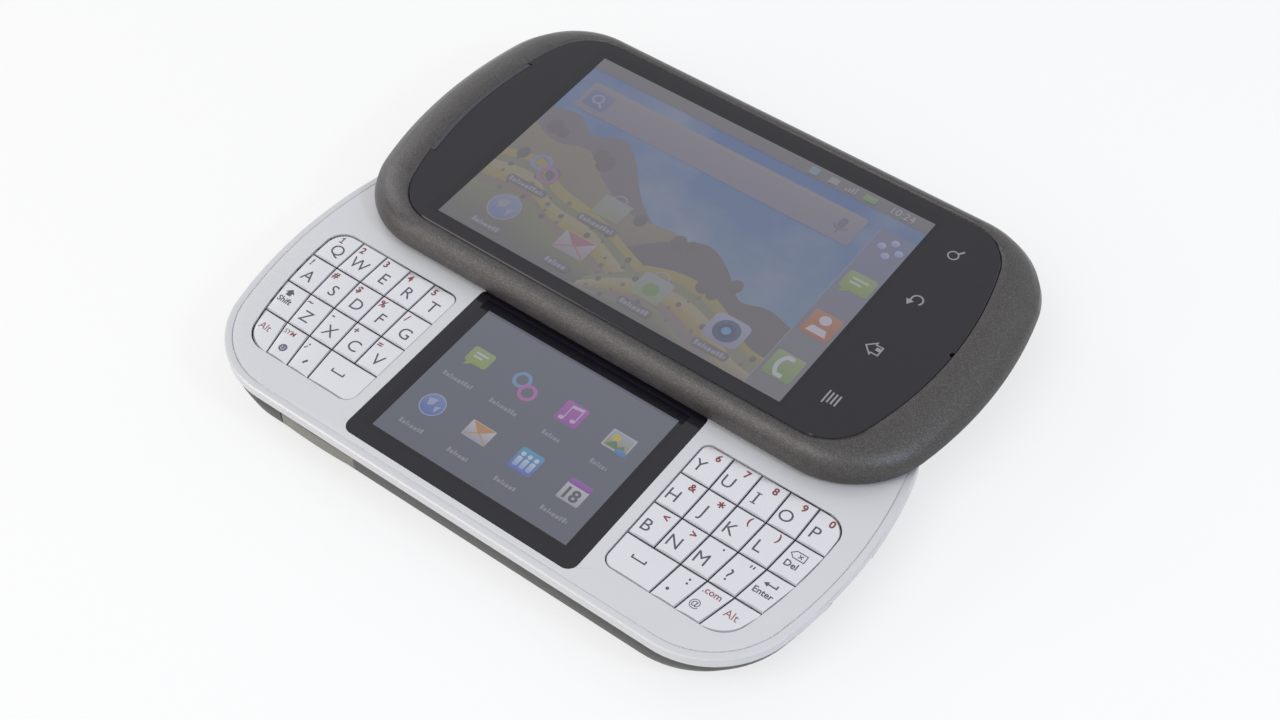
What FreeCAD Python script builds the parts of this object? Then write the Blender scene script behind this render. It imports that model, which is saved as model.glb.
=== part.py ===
import FreeCAD, Part
import Sketcher
import math
import os

# A slider phone with a second display: a flat base with a split keyboard, and an upper half with
# the main display that slides away across it. Millimetres, +Z up, +X towards the touch keys' end.
# The origin is the centre of the base's back face. The model stands open, as in use.

V = FreeCAD.Vector
doc = FreeCAD.newDocument("slider_phone")
sheet = doc.addObject("Spreadsheet::Sheet", "dims")

# ---------------------------------------------------------------- driving dimensions

SIZES = {
    # overall
    "body_length": 120.6,
    "body_width": 63.5,
    "corner_radius": 17.0,
    "end_radius": 80.0,
    "base_height": 10.3,
    "lid_gap": 0.2,
    "upper_height": 5.8,
    "slide_travel": 39.4,
    "cut_over": 1.0,
    # shells of the base
    "cover_height": 2.4,
    "cover_floor": 0.9,
    "cover_wall": 1.1,
    "hull_taper": 13.0,
    "hull_round": 5.5,
    "housing_inset": 0.35,
    "housing_wall": 1.4,
    "web_level": 5.8,
    "web_thickness": 0.7,
    "tray_end": 3.35,
    "lip_height": 0.9,
    "fit_gap": 0.1,
    # keypad fascia
    "skirt_height": 2.1,
    "skirt_wall": 0.9,
    "fascia_thickness": 1.0,
    "fascia_edge": 0.25,
    "groove_inset": 1.3,
    "groove_width": 0.22,
    "groove_depth": 0.15,
    # second display
    "second_glass_end_gap": 2.45,
    "second_glass_width": 38.2,
    "second_glass_margin": 2.75,
    "second_glass_corner": 2.0,
    "second_glass_thickness": 0.85,
    "second_glass_sink": 0.05,
    "second_lcd_end_gap": 1.7,
    "second_lcd_width": 35.0,
    "second_lcd_margin": 1.4,
    # keys
    "pad_length": 28.1,
    "pad_end_margin": 5.55,
    "pad_side_margin": 7.17,
    "row_pitch": 7.22,
    "key_gap": 0.22,
    "pad_gap": 0.15,
    "key_sink": 0.3,
    "key_height": 1.45,
    "key_crown": 0.16,
    "dome_spread": 1.3,
    "key_stroke": 0.25,
    "far_outer_corner": 3.7,
    "near_outer_corner": 5.2,
    "far_inner_corner": 1.6,
    "near_inner_corner": 2.2,
    "key_edge": 0.28,
    "sheet_margin": 0.9,
    # inside the base
    "board_thickness": 0.8,
    "board_end_gap": 1.2,
    "board_side_gap": 2.4,
    "battery_left": -26.5,
    "battery_length": 57.0,
    "battery_width": 43.0,
    "battery_thickness": 4.5,
    "battery_corner": 1.0,
    "bay_clearance": 0.25,
    "switch_length": 4.4,
    "switch_depth": 3.0,
    "switch_height": 1.0,
    "switch_setback": 2.35,
    "side_bay_width": 40.0,
    "side_bay_wall": 8.8,
    "bay_rib": 1.2,
    "usb_offset": -3.2,
    "usb_width": 7.6,
    "usb_height": 2.5,
    "usb_depth": 5.4,
    "usb_setback": 3.6,
    "usb_steel": 0.3,
    "usb_tongue": 3.6,
    "usb_tongue_drop": 0.3,
    "usb_tongue_thickness": 0.5,
    "usb_tongue_setback": 0.8,
    "usb_scoop": 11.4,
    "usb_scoop_height": 0.5,
    "usb_scoop_reach": 3.0,
    "jack_offset": 13.0,
    "jack_bore_radius": 1.8,
    "jack_level": 4.9,
    "jack_height": 4.8,
    "jack_width": 6.2,
    "jack_length": 10.8,
    "jack_bore_depth": 14.0,
    "jack_nose_radius": 2.2,
    "jack_setback": 4.7,
    "camera_setback": 20.3,
    "camera_barrel": 3.6,
    "camera_body": 8.6,
    "camera_shoulder": 2.6,
    "camera_sink": 0.35,
    "camera_window": 2.6,
    "camera_window_sink": 0.3,
    "speaker_setback": 17.3,
    "speaker_offset": 11.0,
    "speaker_length": 15.0,
    "speaker_width": 10.0,
    "slot_length": 8.0,
    "slot_width": 0.9,
    "slot_pitch": 1.9,
    # side keys
    "rocker_setback": 32.1,
    "rocker_length": 16.6,
    "rocker_level": 5.9,
    "rocker_height": 2.9,
    "rocker_proud": 0.35,
    "rocker_bow": 0.3,
    "rocker_tilt_gap": 0.3,
    "power_offset": -9.0,
    "power_length": 9.0,
    "power_wall": 1.75,
    "power_depth": 3.8,
    "camera_key_setback": 23.3,
    "camera_key_length": 10.0,
    "small_key_level": 6.4,
    "small_key_height": 2.0,
    "side_key_proud": 0.35,
    "side_key_stroke": 0.4,
    "side_key_wall": 1.0,
    "side_key_flange": 0.5,
    "side_key_rim": 0.5,
    "side_key_gap": 0.15,
    "side_key_room": 2.2,
    "side_key_round": 0.25,
    # slide mechanism
    "channel_width": 49.0,
    "channel_steel": 0.25,
    "channel_lip": 1.5,
    "channel_recess": 0.1,
    "channel_slot": 0.4,
    "channel_end_gap": 2.0,
    "run_gap": 0.1,
    "stop_gap": 0.05,
    "screw_shank": 0.7,
    "screw_head": 1.3,
    "screw_sink": 0.5,
    "screw_length": 4.2,
    "screw_slot": 0.4,
    "screw_slot_depth": 0.25,
    "screw_span": 34.0,
    "post_width": 3.4,
    # upper half
    "back_depth": 1.0,
    "back_inset": 1.1,
    "heel_rise": 0.3,
    "heel_inset": 0.4,
    "seam_inset": 0.05,
    "back_floor": 0.7,
    "waist_rise": 1.5,
    "bezel_end": 8.3,
    "bezel_side": 3.6,
    "glass_corner": 10.0,
    "glass_end": 70.0,
    "glass_thickness": 1.0,
    "glass_proud": 0.1,
    "glass_gap": 0.15,
    "glass_edge": 0.2,
    "bezel_wall_end": 3.8,
    "bezel_wall_side": 1.2,
    "ledge_thickness": 0.9,
    "main_view_length": 75.0,
    "main_view_width": 50.6,
    "main_lcd_length": 79.0,
    "main_lcd_width": 53.5,
    "main_lcd_shift": -3.2,
    "main_lcd_drop": 0.1,
    "earpiece_length": 28.4,
    "earpiece_width": 1.1,
    "earpiece_thickness": 0.85,
    "mic_notch": 0.55,
}

# ---------------------------------------------------------------- levels worked out from them

LEVELS = {
    "pad_inner": "body_length / 2 - pad_end_margin - pad_length",
    "second_glass_length": "2 * (pad_inner - second_glass_end_gap)",
    "second_lcd_length": "second_glass_length - 2 * second_lcd_end_gap",
    "skirt_level": "base_height - skirt_height",
    "fascia_under": "base_height - fascia_thickness",
    "lip_level": "skirt_level + lip_height",
    "tray_level": "web_level + web_thickness",
    "board_level": "tray_level + fit_gap",
    "board_top": "board_level + board_thickness",
    "second_glass_level": "base_height - second_glass_sink - second_glass_thickness",
    "key_level": "base_height - key_sink - key_height",
    "sheet_height": "key_level - key_stroke - stop_gap - board_top",
    "second_glass_near": "second_glass_margin - body_width / 2",
    "second_glass_far": "second_glass_near + second_glass_width",
    "second_lcd_near": "second_glass_near + second_lcd_margin",
    "second_lcd_far": "second_lcd_near + second_lcd_width",
    "side_bay_end": "body_length / 2 - side_bay_wall",
    "usb_mouth": "body_length / 2 - usb_setback",
    "jack_mouth": "body_length / 2 - jack_setback",
    "camera_centre": "camera_setback - body_length / 2",
    "speaker_centre": "body_length / 2 - speaker_setback",
    "rocker_centre": "rocker_setback - body_length / 2",
    "power_heel": "body_length / 2 - power_depth",
    "camera_key_centre": "body_length / 2 - camera_key_setback",
    "switch_face": "body_width / 2 - switch_setback",
    "pad_outer": "body_length / 2 - pad_end_margin",
    "pad_near": "pad_side_margin - body_width / 2",
    "pad_far": "pad_near + 4 * row_pitch",
    "pad_pitch": "(pad_outer - pad_inner) / 5",
    "pad_arc": "end_radius - (body_length / 2 - pad_outer)",
    "pad_arc_centre": "body_length / 2 - end_radius",
    "upper_level": "base_height + lid_gap",
    "seam_level": "upper_level + back_depth",
    "waist_level": "upper_level + waist_rise",
    "bezel_top": "upper_level + upper_height - glass_proud",
    "crown_rise": "bezel_top - waist_level",
    "glass_level": "bezel_top + glass_proud - glass_thickness",
    "ledge_level": "glass_level - ledge_thickness",
    "channel_level": "upper_level + channel_recess",
    "slot_level": "channel_level + channel_steel",
    "channel_roof": "slot_level + channel_slot",
    "channel_top": "channel_roof + channel_steel",
    "back_top": "channel_top + back_floor",
    "channel_run": "body_width - 2 * channel_end_gap",
    "carriage_length": "channel_run - slide_travel - 2 * stop_gap",
    "carriage_centre": "slide_travel - channel_run / 2 + stop_gap + carriage_length / 2",
    "housing_face": "body_width / 2 - housing_inset",
    "key_room_rim": "side_key_rim + 2 * side_key_gap",
    "board_end": "body_length / 2 - tray_end - board_end_gap",
    "carriage_height": "slot_level + channel_slot - run_gap - base_height",
    "screw_tip": "base_height + carriage_height - screw_length",
    "rocker_pivot": "housing_face - side_key_wall - rocker_tilt_gap - side_key_flange",
}


def sunk(share):
    """How far an elliptical edge has come in, as a share of its width, at a share of its rise."""
    return f"(1 - sqrt(1 - ({share})^2))"


def hull(level):
    """The base's shell at a level: its ends sweep in like a boat's, its sides only at the edge."""
    end_share = f"(skirt_level - ({level})) / skirt_level"
    side_share = f"max(hull_round - ({level}); 0) / hull_round"
    return {
        "level": level,
        "length": f"body_length / 2 - housing_inset - hull_taper * {sunk(end_share)}",
        "width": f"body_width / 2 - housing_inset - hull_round * {sunk(side_share)}",
        "corner": "corner_radius",
        "bow": "end_radius",
    }


def crown(level):
    """The upper half's bezel at a level: an elliptical shoulder that rises to the glass."""
    come_in = sunk(f"({level} - waist_level) / crown_rise")
    return {
        "level": level,
        "length": f"body_length / 2 - bezel_end * {come_in}",
        "width": f"body_width / 2 - bezel_side * {come_in}",
        "corner": f"corner_radius - (corner_radius - glass_corner) * {come_in}",
        "bow": f"end_radius - (end_radius - glass_end) * {come_in}",
    }


def inset(level, end, side=None):
    """The plain body outline, drawn in by the same amount all round or less at its sides."""
    side = side or end
    return {
        "level": level,
        "length": f"body_length / 2 - ({end})",
        "width": f"body_width / 2 - ({side})",
        "corner": f"corner_radius - ({side})",
        "bow": f"end_radius - ({end})",
    }


def glass_outline(level, gap):
    """The main glass's outline, drawn in by a gap."""
    return {
        "level": level,
        "length": f"body_length / 2 - bezel_end - ({gap})",
        "width": f"body_width / 2 - bezel_side - ({gap})",
        "corner": f"glass_corner - ({gap})",
        "bow": f"glass_end - ({gap})",
    }


COVER_SHARES = [0.0, 0.12, 0.45, 1.0]
HOUSING_SHARES = [0.0, 0.25, 0.6, 1.0]
CROWN_SHARES = [0.0, 0.4, 0.7, 0.87, 0.96, 1.0]

OUTLINES = {
    "cover_inside": {
        "level": "cover_floor",
        "length": hull("cover_floor")["length"] + " - cover_wall",
        "width": hull("cover_floor")["width"] + " - cover_wall",
        "corner": "corner_radius",
        "bow": "end_radius",
    },
    "lip": inset("skirt_level", "skirt_wall + fit_gap"),
    "tray": inset("tray_level", "tray_end", "housing_inset + housing_wall"),
    "board": inset(
        "board_level", "tray_end + board_end_gap", "housing_inset + housing_wall + board_side_gap"
    ),
    "fascia": inset("skirt_level", "0"),
    "fascia_inside": inset("skirt_level", "skirt_wall"),
    "groove_outside": inset("base_height", "groove_inset"),
    "groove_inside": inset("base_height", "groove_inset + groove_width"),
    "back_foot": inset("upper_level", "back_inset"),
    "back_heel": inset("upper_level + back_depth * heel_rise", "back_inset * heel_inset"),
    "back_seam": inset("seam_level", "back_inset * seam_inset"),
    "back_lip": inset("seam_level", "bezel_wall_end + fit_gap", "bezel_wall_side + fit_gap"),
    "bezel_seam": inset("seam_level", "back_inset * seam_inset"),
    "bezel_inside": inset("seam_level", "bezel_wall_end", "bezel_wall_side"),
    "bezel_recess": glass_outline("glass_level", "0"),
    "glass": glass_outline("glass_level", "glass_gap"),
    "earpiece_outside": glass_outline("glass_level", "fit_gap"),
    "earpiece_inside": glass_outline("glass_level", "earpiece_width"),
    "earpiece_slot": glass_outline("glass_level", "earpiece_width + fit_gap"),
    "power_skin": {
        "level": "small_key_level - small_key_height / 2",
        "length": hull("small_key_level")["length"] + " + side_key_proud",
        "width": "body_width / 2 - housing_inset",
        "corner": "corner_radius",
        "bow": "end_radius",
    },
    "power_room": inset(
        "small_key_level - small_key_height / 2 - key_room_rim",
        "housing_inset + power_wall",
    ),
    "power_flange": inset(
        "small_key_level - small_key_height / 2 - side_key_rim",
        "housing_inset + power_wall + stop_gap",
    ),
}
for number, share in enumerate(COVER_SHARES):
    OUTLINES[f"cover_{number}"] = hull(f"cover_height * {share}")
for number, share in enumerate(HOUSING_SHARES):
    OUTLINES[f"housing_{number}"] = hull(f"cover_height + (skirt_level - cover_height) * {share}")
for number, share in enumerate(CROWN_SHARES):
    OUTLINES[f"crown_{number}"] = crown(f"(waist_level + crown_rise * {share})")


def fill_sheet():
    """Write every driving size as a number, then the levels and outlines as formulas of them."""
    cells = [(alias, str(value)) for alias, value in SIZES.items()]
    cells += [(alias, "=" + formula) for alias, formula in LEVELS.items()]
    for name, outline in OUTLINES.items():
        cells += [(f"{name}_outline_{part}", "=" + formula) for part, formula in outline.items()]
    for row, (alias, content) in enumerate(cells, start=1):
        sheet.set(f"A{row}", alias)
        sheet.set(f"B{row}", content)
        sheet.setAlias(f"B{row}", alias)
    doc.recompute()


fill_sheet()


def num(alias):
    """A cell's present value, for placing sketch geometry before its constraints are bound."""
    return float(sheet.get(alias))


# ---------------------------------------------------------------- helpers for bodies and sketches

POINTS = ["edge itself", "start", "end", "centre"]
LINE_START = POINTS.index("start")
LINE_END = POINTS.index("end")
CENTRE = POINTS.index("centre")
AXES = ["x", "y"]
X_AXIS = -1 - AXES.index("x")
ORIGIN = X_AXIS


def new_body(label, on_upper=False):
    """An empty body. Those of the upper half stand out over the base by the slide's travel."""
    body = doc.addObject("PartDesign::Body", label + "_body")
    body.Label = label
    if on_upper:
        body.setExpression("Placement.Base.y", "dims.slide_travel")
    return body


def new_sketch(body, name, plane="XY_Plane", height=None):
    """A sketch on one of the body's own origin planes, lifted along its normal by an expression."""
    sketch = body.newObject("Sketcher::SketchObject", name)
    support = [item for item in body.Origin.OriginFeatures if item.Role == plane][0]
    sketch.AttachmentSupport = [(support, "")]
    sketch.MapMode = "FlatFace"
    if height is not None:
        sketch.setExpression("AttachmentOffset.Base.z", height)
    return sketch


def bind(sketch, name, constraint, expression):
    """Add a named dimension and tie it to the sheet."""
    index = sketch.addConstraint(constraint)
    sketch.renameConstraint(index, name)
    sketch.setExpression(f"Constraints.{name}", expression)


def barrel(body, outline, plane_height=None):
    """The phone's outline: straight long sides, round corners and bowed ends, all tangent."""
    length, width = num(outline + "_outline_length"), num(outline + "_outline_width")
    corner, bow = num(outline + "_outline_corner"), num(outline + "_outline_bow")
    bow_x = length - bow
    corner_y = width - corner
    corner_x = bow_x + math.sqrt((bow - corner) ** 2 - corner_y**2)
    turn = math.atan2(corner_y, corner_x - bow_x)
    height = plane_height or f"dims.{outline}_outline_level"
    sketch = new_sketch(body, outline + "_outline", height=height)

    def arc(x, y, radius, start, end):
        circle = Part.Circle(V(x, y, 0), V(0, 0, 1), radius)
        return sketch.addGeometry(Part.ArcOfCircle(circle, start, end))

    def line(x1, y1, x2, y2):
        return sketch.addGeometry(Part.LineSegment(V(x1, y1, 0), V(x2, y2, 0)))

    half = math.pi / 2
    chain = [
        arc(bow_x, 0, bow, -turn, turn),
        arc(corner_x, corner_y, corner, turn, half),
        line(corner_x, width, -corner_x, width),
        arc(-corner_x, corner_y, corner, half, math.pi - turn),
        arc(-bow_x, 0, bow, math.pi - turn, math.pi + turn),
        arc(-corner_x, -corner_y, corner, math.pi + turn, math.pi + half),
        line(-corner_x, -width, corner_x, -width),
        arc(corner_x, -corner_y, corner, -half, -turn),
    ]
    tips = [sketch.addGeometry(Part.Point(V(x, 0, 0)), True) for x in (length, -length)]
    for here, there in zip(chain, chain[1:] + chain[:1]):
        sketch.addConstraint(Sketcher.Constraint("Tangent", here, LINE_END, there, LINE_START))
    for edge in (chain[2], chain[6]):
        sketch.addConstraint(Sketcher.Constraint("Horizontal", edge))
    for bow_arc, tip in ((chain[0], tips[0]), (chain[4], tips[1])):
        sketch.addConstraint(Sketcher.Constraint("PointOnObject", bow_arc, CENTRE, X_AXIS))
        sketch.addConstraint(Sketcher.Constraint("PointOnObject", tip, LINE_START, X_AXIS))
        sketch.addConstraint(Sketcher.Constraint("PointOnObject", tip, LINE_START, bow_arc))
    sketch.addConstraint(Sketcher.Constraint("Equal", chain[0], chain[4]))
    for other in (chain[3], chain[5], chain[7]):
        sketch.addConstraint(Sketcher.Constraint("Equal", chain[1], other))
    bind(sketch, "bow", Sketcher.Constraint("Radius", chain[0], bow), f"dims.{outline}_outline_bow")
    corner_size = Sketcher.Constraint("Radius", chain[1], corner)
    bind(sketch, "corner", corner_size, f"dims.{outline}_outline_corner")
    right = Sketcher.Constraint("DistanceX", ORIGIN, LINE_START, tips[0], LINE_START, length)
    left = Sketcher.Constraint("DistanceX", tips[1], LINE_START, ORIGIN, LINE_START, length)
    far = Sketcher.Constraint("DistanceY", ORIGIN, LINE_START, chain[2], LINE_START, width)
    near = Sketcher.Constraint("DistanceY", chain[6], LINE_START, ORIGIN, LINE_START, width)
    for name, constraint, part in (
        ("right", right, "length"),
        ("left", left, "length"),
        ("far", far, "width"),
        ("near", near, "width"),
    ):
        bind(sketch, name, constraint, f"dims.{outline}_outline_{part}")
    return sketch


def loft(body, name, sketches):
    """A skin over a stack of outlines, straight from each one to the next."""
    feature = body.newObject("PartDesign::AdditiveLoft", name)
    feature.Profile = (sketches[0], [""])
    feature.Sections = [(sketch, [""]) for sketch in sketches[1:]]
    feature.Ruled = True
    return feature


def pad(body, name, sketch, length):
    feature = body.newObject("PartDesign::Pad", name)
    feature.Profile = (sketch, [""])
    feature.setExpression("Length", length)
    return feature


def pocket(body, name, sketch, length, upwards=False):
    """Cut down into the body from the sketch, or up into it."""
    feature = body.newObject("PartDesign::Pocket", name)
    feature.Profile = (sketch, [""])
    feature.Reversed = upwards
    feature.setExpression("Length", length)
    return feature


def block(name, corner, size, on_upper=False):
    """A box whose corner and size are expressions of the sheet."""
    box = doc.addObject("Part::Box", name)
    for side, expression in zip(("Length", "Width", "Height"), size):
        box.setExpression(side, expression)
    lift = " + dims.slide_travel" if on_upper else ""
    for axis, expression in zip("xyz", corner):
        box.setExpression(f"Placement.Base.{axis}", expression + (lift if axis == "y" else ""))
    return box


def rod(name, centre, radius, height, axis=V(0, 0, 1)):
    """A cylinder from centre along axis."""
    cylinder = doc.addObject("Part::Cylinder", name)
    cylinder.Placement = FreeCAD.Placement(V(), FreeCAD.Rotation(V(0, 0, 1), axis))
    cylinder.setExpression("Radius", radius)
    cylinder.setExpression("Height", height)
    for letter, expression in zip("xyz", centre):
        cylinder.setExpression(f"Placement.Base.{letter}", expression)
    return cylinder


def fuse(name, shapes):
    joined = doc.addObject("Part::MultiFuse", name)
    joined.Shapes = shapes
    return joined


def cut(name, base, tools):
    """Base less the tools, which are fused first where there are several."""
    result = doc.addObject("Part::Cut", name)
    result.Base = base
    result.Tool = tools[0] if len(tools) == 1 else fuse(name + "_tools", tools)
    return result


def common(name, first, second):
    """What two shapes share."""
    shared = doc.addObject("Part::MultiCommon", name)
    shared.Shapes = [first, second]
    return shared


def round_edges(name, base, radius, wanted):
    """Fillet the edges of base that wanted picks, with a radius from the sheet."""
    doc.recompute()
    picked = [number for number, edge in enumerate(base.Shape.Edges, start=1) if wanted(edge)]
    rounded = doc.addObject("Part::Fillet", name)
    rounded.Base = base
    rounded.Edges = [(number, num(radius), num(radius)) for number in picked]
    return rounded


def bevel_edges(name, base, size, wanted):
    """Cut a flat along the edges of base that wanted picks."""
    doc.recompute()
    picked = [number for number, edge in enumerate(base.Shape.Edges, start=1) if wanted(edge)]
    bevelled = doc.addObject("Part::Chamfer", name)
    bevelled.Base = base
    bevelled.Edges = [(number, num(size), num(size)) for number in picked]
    return bevelled


# An edge stands upright if it rises by this share of its length. It lies at a level within the band.
UPRIGHT_SHARE = 0.9
LEVEL_BAND = 0.01


def upright(edge):
    """Whether an edge stands along Z."""
    ends = [vertex.Point for vertex in edge.Vertexes]
    return len(ends) == 2 and abs(ends[0].z - ends[1].z) > UPRIGHT_SHARE * edge.Length


# ---------------------------------------------------------------- battery cover

# The loudspeaker's slots, counted from the one over its middle.
SPEAKER_SLOTS = range(-2, 3)


def battery_cover():
    """The back: a thin tray whose outside is the lower part of the hull."""
    body = new_body("battery_cover_shell")
    loft(body, "cover_skin", [barrel(body, f"cover_{number}") for number in range(len(COVER_SHARES))])
    pocket(body, "cover_hollow", barrel(body, "cover_inside"), "dims.cover_height", upwards=True)
    camera_hole = rod(
        "camera_hole",
        ("dims.camera_centre", "0", "-dims.cut_over"),
        "dims.camera_barrel + dims.bay_clearance",
        "dims.cover_height + dims.cut_over",
    )
    speaker_slots = [
        block(
            f"speaker_slot_{number - SPEAKER_SLOTS[0] + 1}",
            (
                f"dims.speaker_centre + {number} * dims.slot_pitch - dims.slot_width / 2",
                "-dims.speaker_offset - dims.slot_length / 2",
                "-dims.cut_over",
            ),
            ("dims.slot_width", "dims.slot_length", "dims.cover_height + dims.cut_over"),
        )
        for number in SPEAKER_SLOTS
    ]
    return cut("battery_cover", body, [camera_hole] + speaker_slots)


# ---------------------------------------------------------------- lower housing

SCREW_PLACES = {
    "left": ("-dims.screw_span / 2", "dims.carriage_centre"),
    "right": ("dims.screw_span / 2", "dims.carriage_centre"),
}


def housing_bays():
    """Room below the web for the battery, and on each side of it for what sits at the ends."""
    floor = "dims.cover_height - dims.cut_over"
    bay_left = "dims.battery_left - dims.bay_clearance"
    bay_right = "dims.battery_left + dims.battery_length + dims.bay_clearance"
    side_height = "dims.base_height"
    battery_bay = block(
        "battery_bay",
        (bay_left, "-dims.battery_width / 2 - dims.bay_clearance", floor),
        (
            "dims.battery_length + 2 * dims.bay_clearance",
            "dims.battery_width + 2 * dims.bay_clearance",
            "dims.web_level - dims.cover_height + dims.cut_over",
        ),
    )
    left_bay = block(
        "left_bay",
        ("-dims.side_bay_end", "-dims.side_bay_width / 2", floor),
        (f"dims.side_bay_end + {bay_left} - dims.bay_rib", "dims.side_bay_width", side_height),
    )
    right_bay = block(
        "right_bay",
        (f"{bay_right} + dims.bay_rib", "-dims.side_bay_width / 2", floor),
        (f"dims.side_bay_end - ({bay_right} + dims.bay_rib)", "dims.side_bay_width", side_height),
    )
    return [battery_bay, left_bay, right_bay]


def housing_ports():
    """Mouths in the end walls for the charging socket and the headset socket."""
    usb_mouth = block(
        "usb_mouth_cut",
        (
            "dims.side_bay_end - dims.cut_over",
            "dims.usb_offset - dims.usb_width / 2 - dims.bay_clearance",
            "dims.board_level - dims.usb_height - dims.bay_clearance",
        ),
        (
            "dims.body_length / 2 - dims.side_bay_end + dims.cut_over",
            "dims.usb_width + 2 * dims.bay_clearance",
            "dims.usb_height + 2 * dims.bay_clearance",
        ),
    )
    jack_mouth = rod(
        "jack_mouth_cut",
        ("-dims.body_length / 2", "dims.jack_offset", "dims.jack_level"),
        "dims.jack_nose_radius + dims.fit_gap",
        "dims.body_length / 2 - dims.side_bay_end + dims.cut_over",
        V(1, 0, 0),
    )
    return [usb_mouth, jack_mouth]


def side_key_cuts(name, centre, length, level, height, far):
    """A window through a long side wall and the room behind it for a key's flange."""
    face = "dims.body_width / 2"
    inside = "(dims.housing_face - dims.side_key_wall)"
    near_edge = inside if far else f"-{face}"
    window = block(
        name + "_window",
        (
            f"{centre} - {length} / 2 - dims.side_key_gap",
            near_edge,
            f"{level} - {height} / 2 - dims.side_key_gap",
        ),
        (
            f"{length} + 2 * dims.side_key_gap",
            f"{face} - {inside}",
            f"{height} + 2 * dims.side_key_gap",
        ),
    )
    room_edge = f"{inside} - dims.side_key_room" if far else f"-{inside}"
    reach = "dims.key_room_rim"
    room = block(
        name + "_room",
        (
            f"{centre} - {length} / 2 - {reach}",
            room_edge,
            f"{level} - {height} / 2 - {reach}",
        ),
        (f"{length} + 2 * {reach}", "dims.side_key_room", f"{height} + 2 * {reach}"),
    )
    return [window, room]


def power_key_cuts():
    """The same for the power key, in the left end wall, whose bow the room behind it follows."""
    window = block(
        "power_key_window",
        (
            "-dims.body_length / 2",
            "dims.power_offset - dims.power_length / 2 - dims.side_key_gap",
            "dims.small_key_level - dims.small_key_height / 2 - dims.side_key_gap",
        ),
        (
            "dims.body_length / 2 - dims.power_heel",
            "dims.power_length + 2 * dims.side_key_gap",
            "dims.small_key_height + 2 * dims.side_key_gap",
        ),
    )
    space = block(
        "power_key_space",
        (
            "-dims.body_length / 2",
            "dims.power_offset - dims.power_length / 2 - dims.key_room_rim",
            "dims.small_key_level - dims.small_key_height / 2 - dims.key_room_rim",
        ),
        (
            "dims.body_length / 2 - dims.power_heel + dims.side_key_stroke + dims.bay_clearance",
            "dims.power_length + 2 * dims.key_room_rim",
            "dims.small_key_height + 2 * dims.key_room_rim",
        ),
    )
    bowed = new_body("power_room_form")
    height = "dims.small_key_height + 2 * dims.key_room_rim"
    pad(bowed, "power_room_pad", barrel(bowed, "power_room"), height)
    return [window, common("power_key_room", space, bowed)]


def lower_housing():
    """The middle frame: it carries the board above and the battery below a thin web."""
    body = new_body("lower_housing_shell")
    sections = [barrel(body, f"housing_{number}") for number in range(len(HOUSING_SHARES))]
    loft(body, "housing_skin", sections)
    pad(body, "locating_lip", barrel(body, "lip"), "dims.lip_height")
    pocket(body, "board_tray", barrel(body, "tray"), "dims.base_height", upwards=True)
    hollows = housing_bays() + housing_ports() + power_key_cuts()
    hollows += side_key_cuts(
        "rocker",
        "dims.rocker_centre",
        "dims.rocker_length",
        "dims.rocker_level",
        "dims.rocker_height",
        False,
    )
    hollows += side_key_cuts(
        "camera_key",
        "dims.camera_key_centre",
        "dims.camera_key_length",
        "dims.small_key_level",
        "dims.small_key_height",
        True,
    )
    open_shell = cut("lower_housing_open", body, hollows)
    posts = []
    for side, (x, y) in SCREW_PLACES.items():
        corner = (f"{x} - dims.post_width / 2", f"{y} - dims.post_width / 2", "dims.web_level")
        size = ("dims.post_width", "dims.post_width", "dims.fascia_under - dims.web_level")
        posts.append(block(f"screw_post_{side}", corner, size))
    fulcrum = doc.addObject("Part::Prism", "rocker_fulcrum")
    sides = 6
    fulcrum.Polygon = sides
    fulcrum.setExpression("Circumradius", "dims.side_key_flange - dims.stop_gap")
    fulcrum.setExpression("Height", "dims.rocker_height + 2 * dims.side_key_rim")
    fulcrum.Placement = FreeCAD.Placement(V(), FreeCAD.Rotation(V(0, 0, 1), 180 / sides))
    fulcrum.setExpression("Placement.Base.x", "dims.rocker_centre")
    fulcrum.setExpression("Placement.Base.y", "dims.side_key_flange - dims.rocker_pivot")
    foot = "(dims.rocker_level - dims.rocker_height / 2 - dims.side_key_rim)"
    fulcrum.setExpression("Placement.Base.z", foot)
    stiffener = block(
        "rocker_stiffener",
        ("dims.rocker_centre - dims.side_key_flange", "dims.side_key_flange - dims.rocker_pivot", foot),
        ("2 * dims.side_key_flange", "dims.side_key_room", f"dims.tray_level - {foot}"),
    )
    solid = fuse("lower_housing_posts", [open_shell] + posts + [fulcrum, stiffener])
    holes = []
    for side, (x, y) in SCREW_PLACES.items():
        tip = (x, y, "dims.screw_tip")
        holes.append(rod(f"post_hole_{side}", tip, "dims.screw_shank + dims.stop_gap", "dims.screw_length"))
    return cut("lower_housing", solid, holes)


# ---------------------------------------------------------------- keypad fascia

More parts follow.
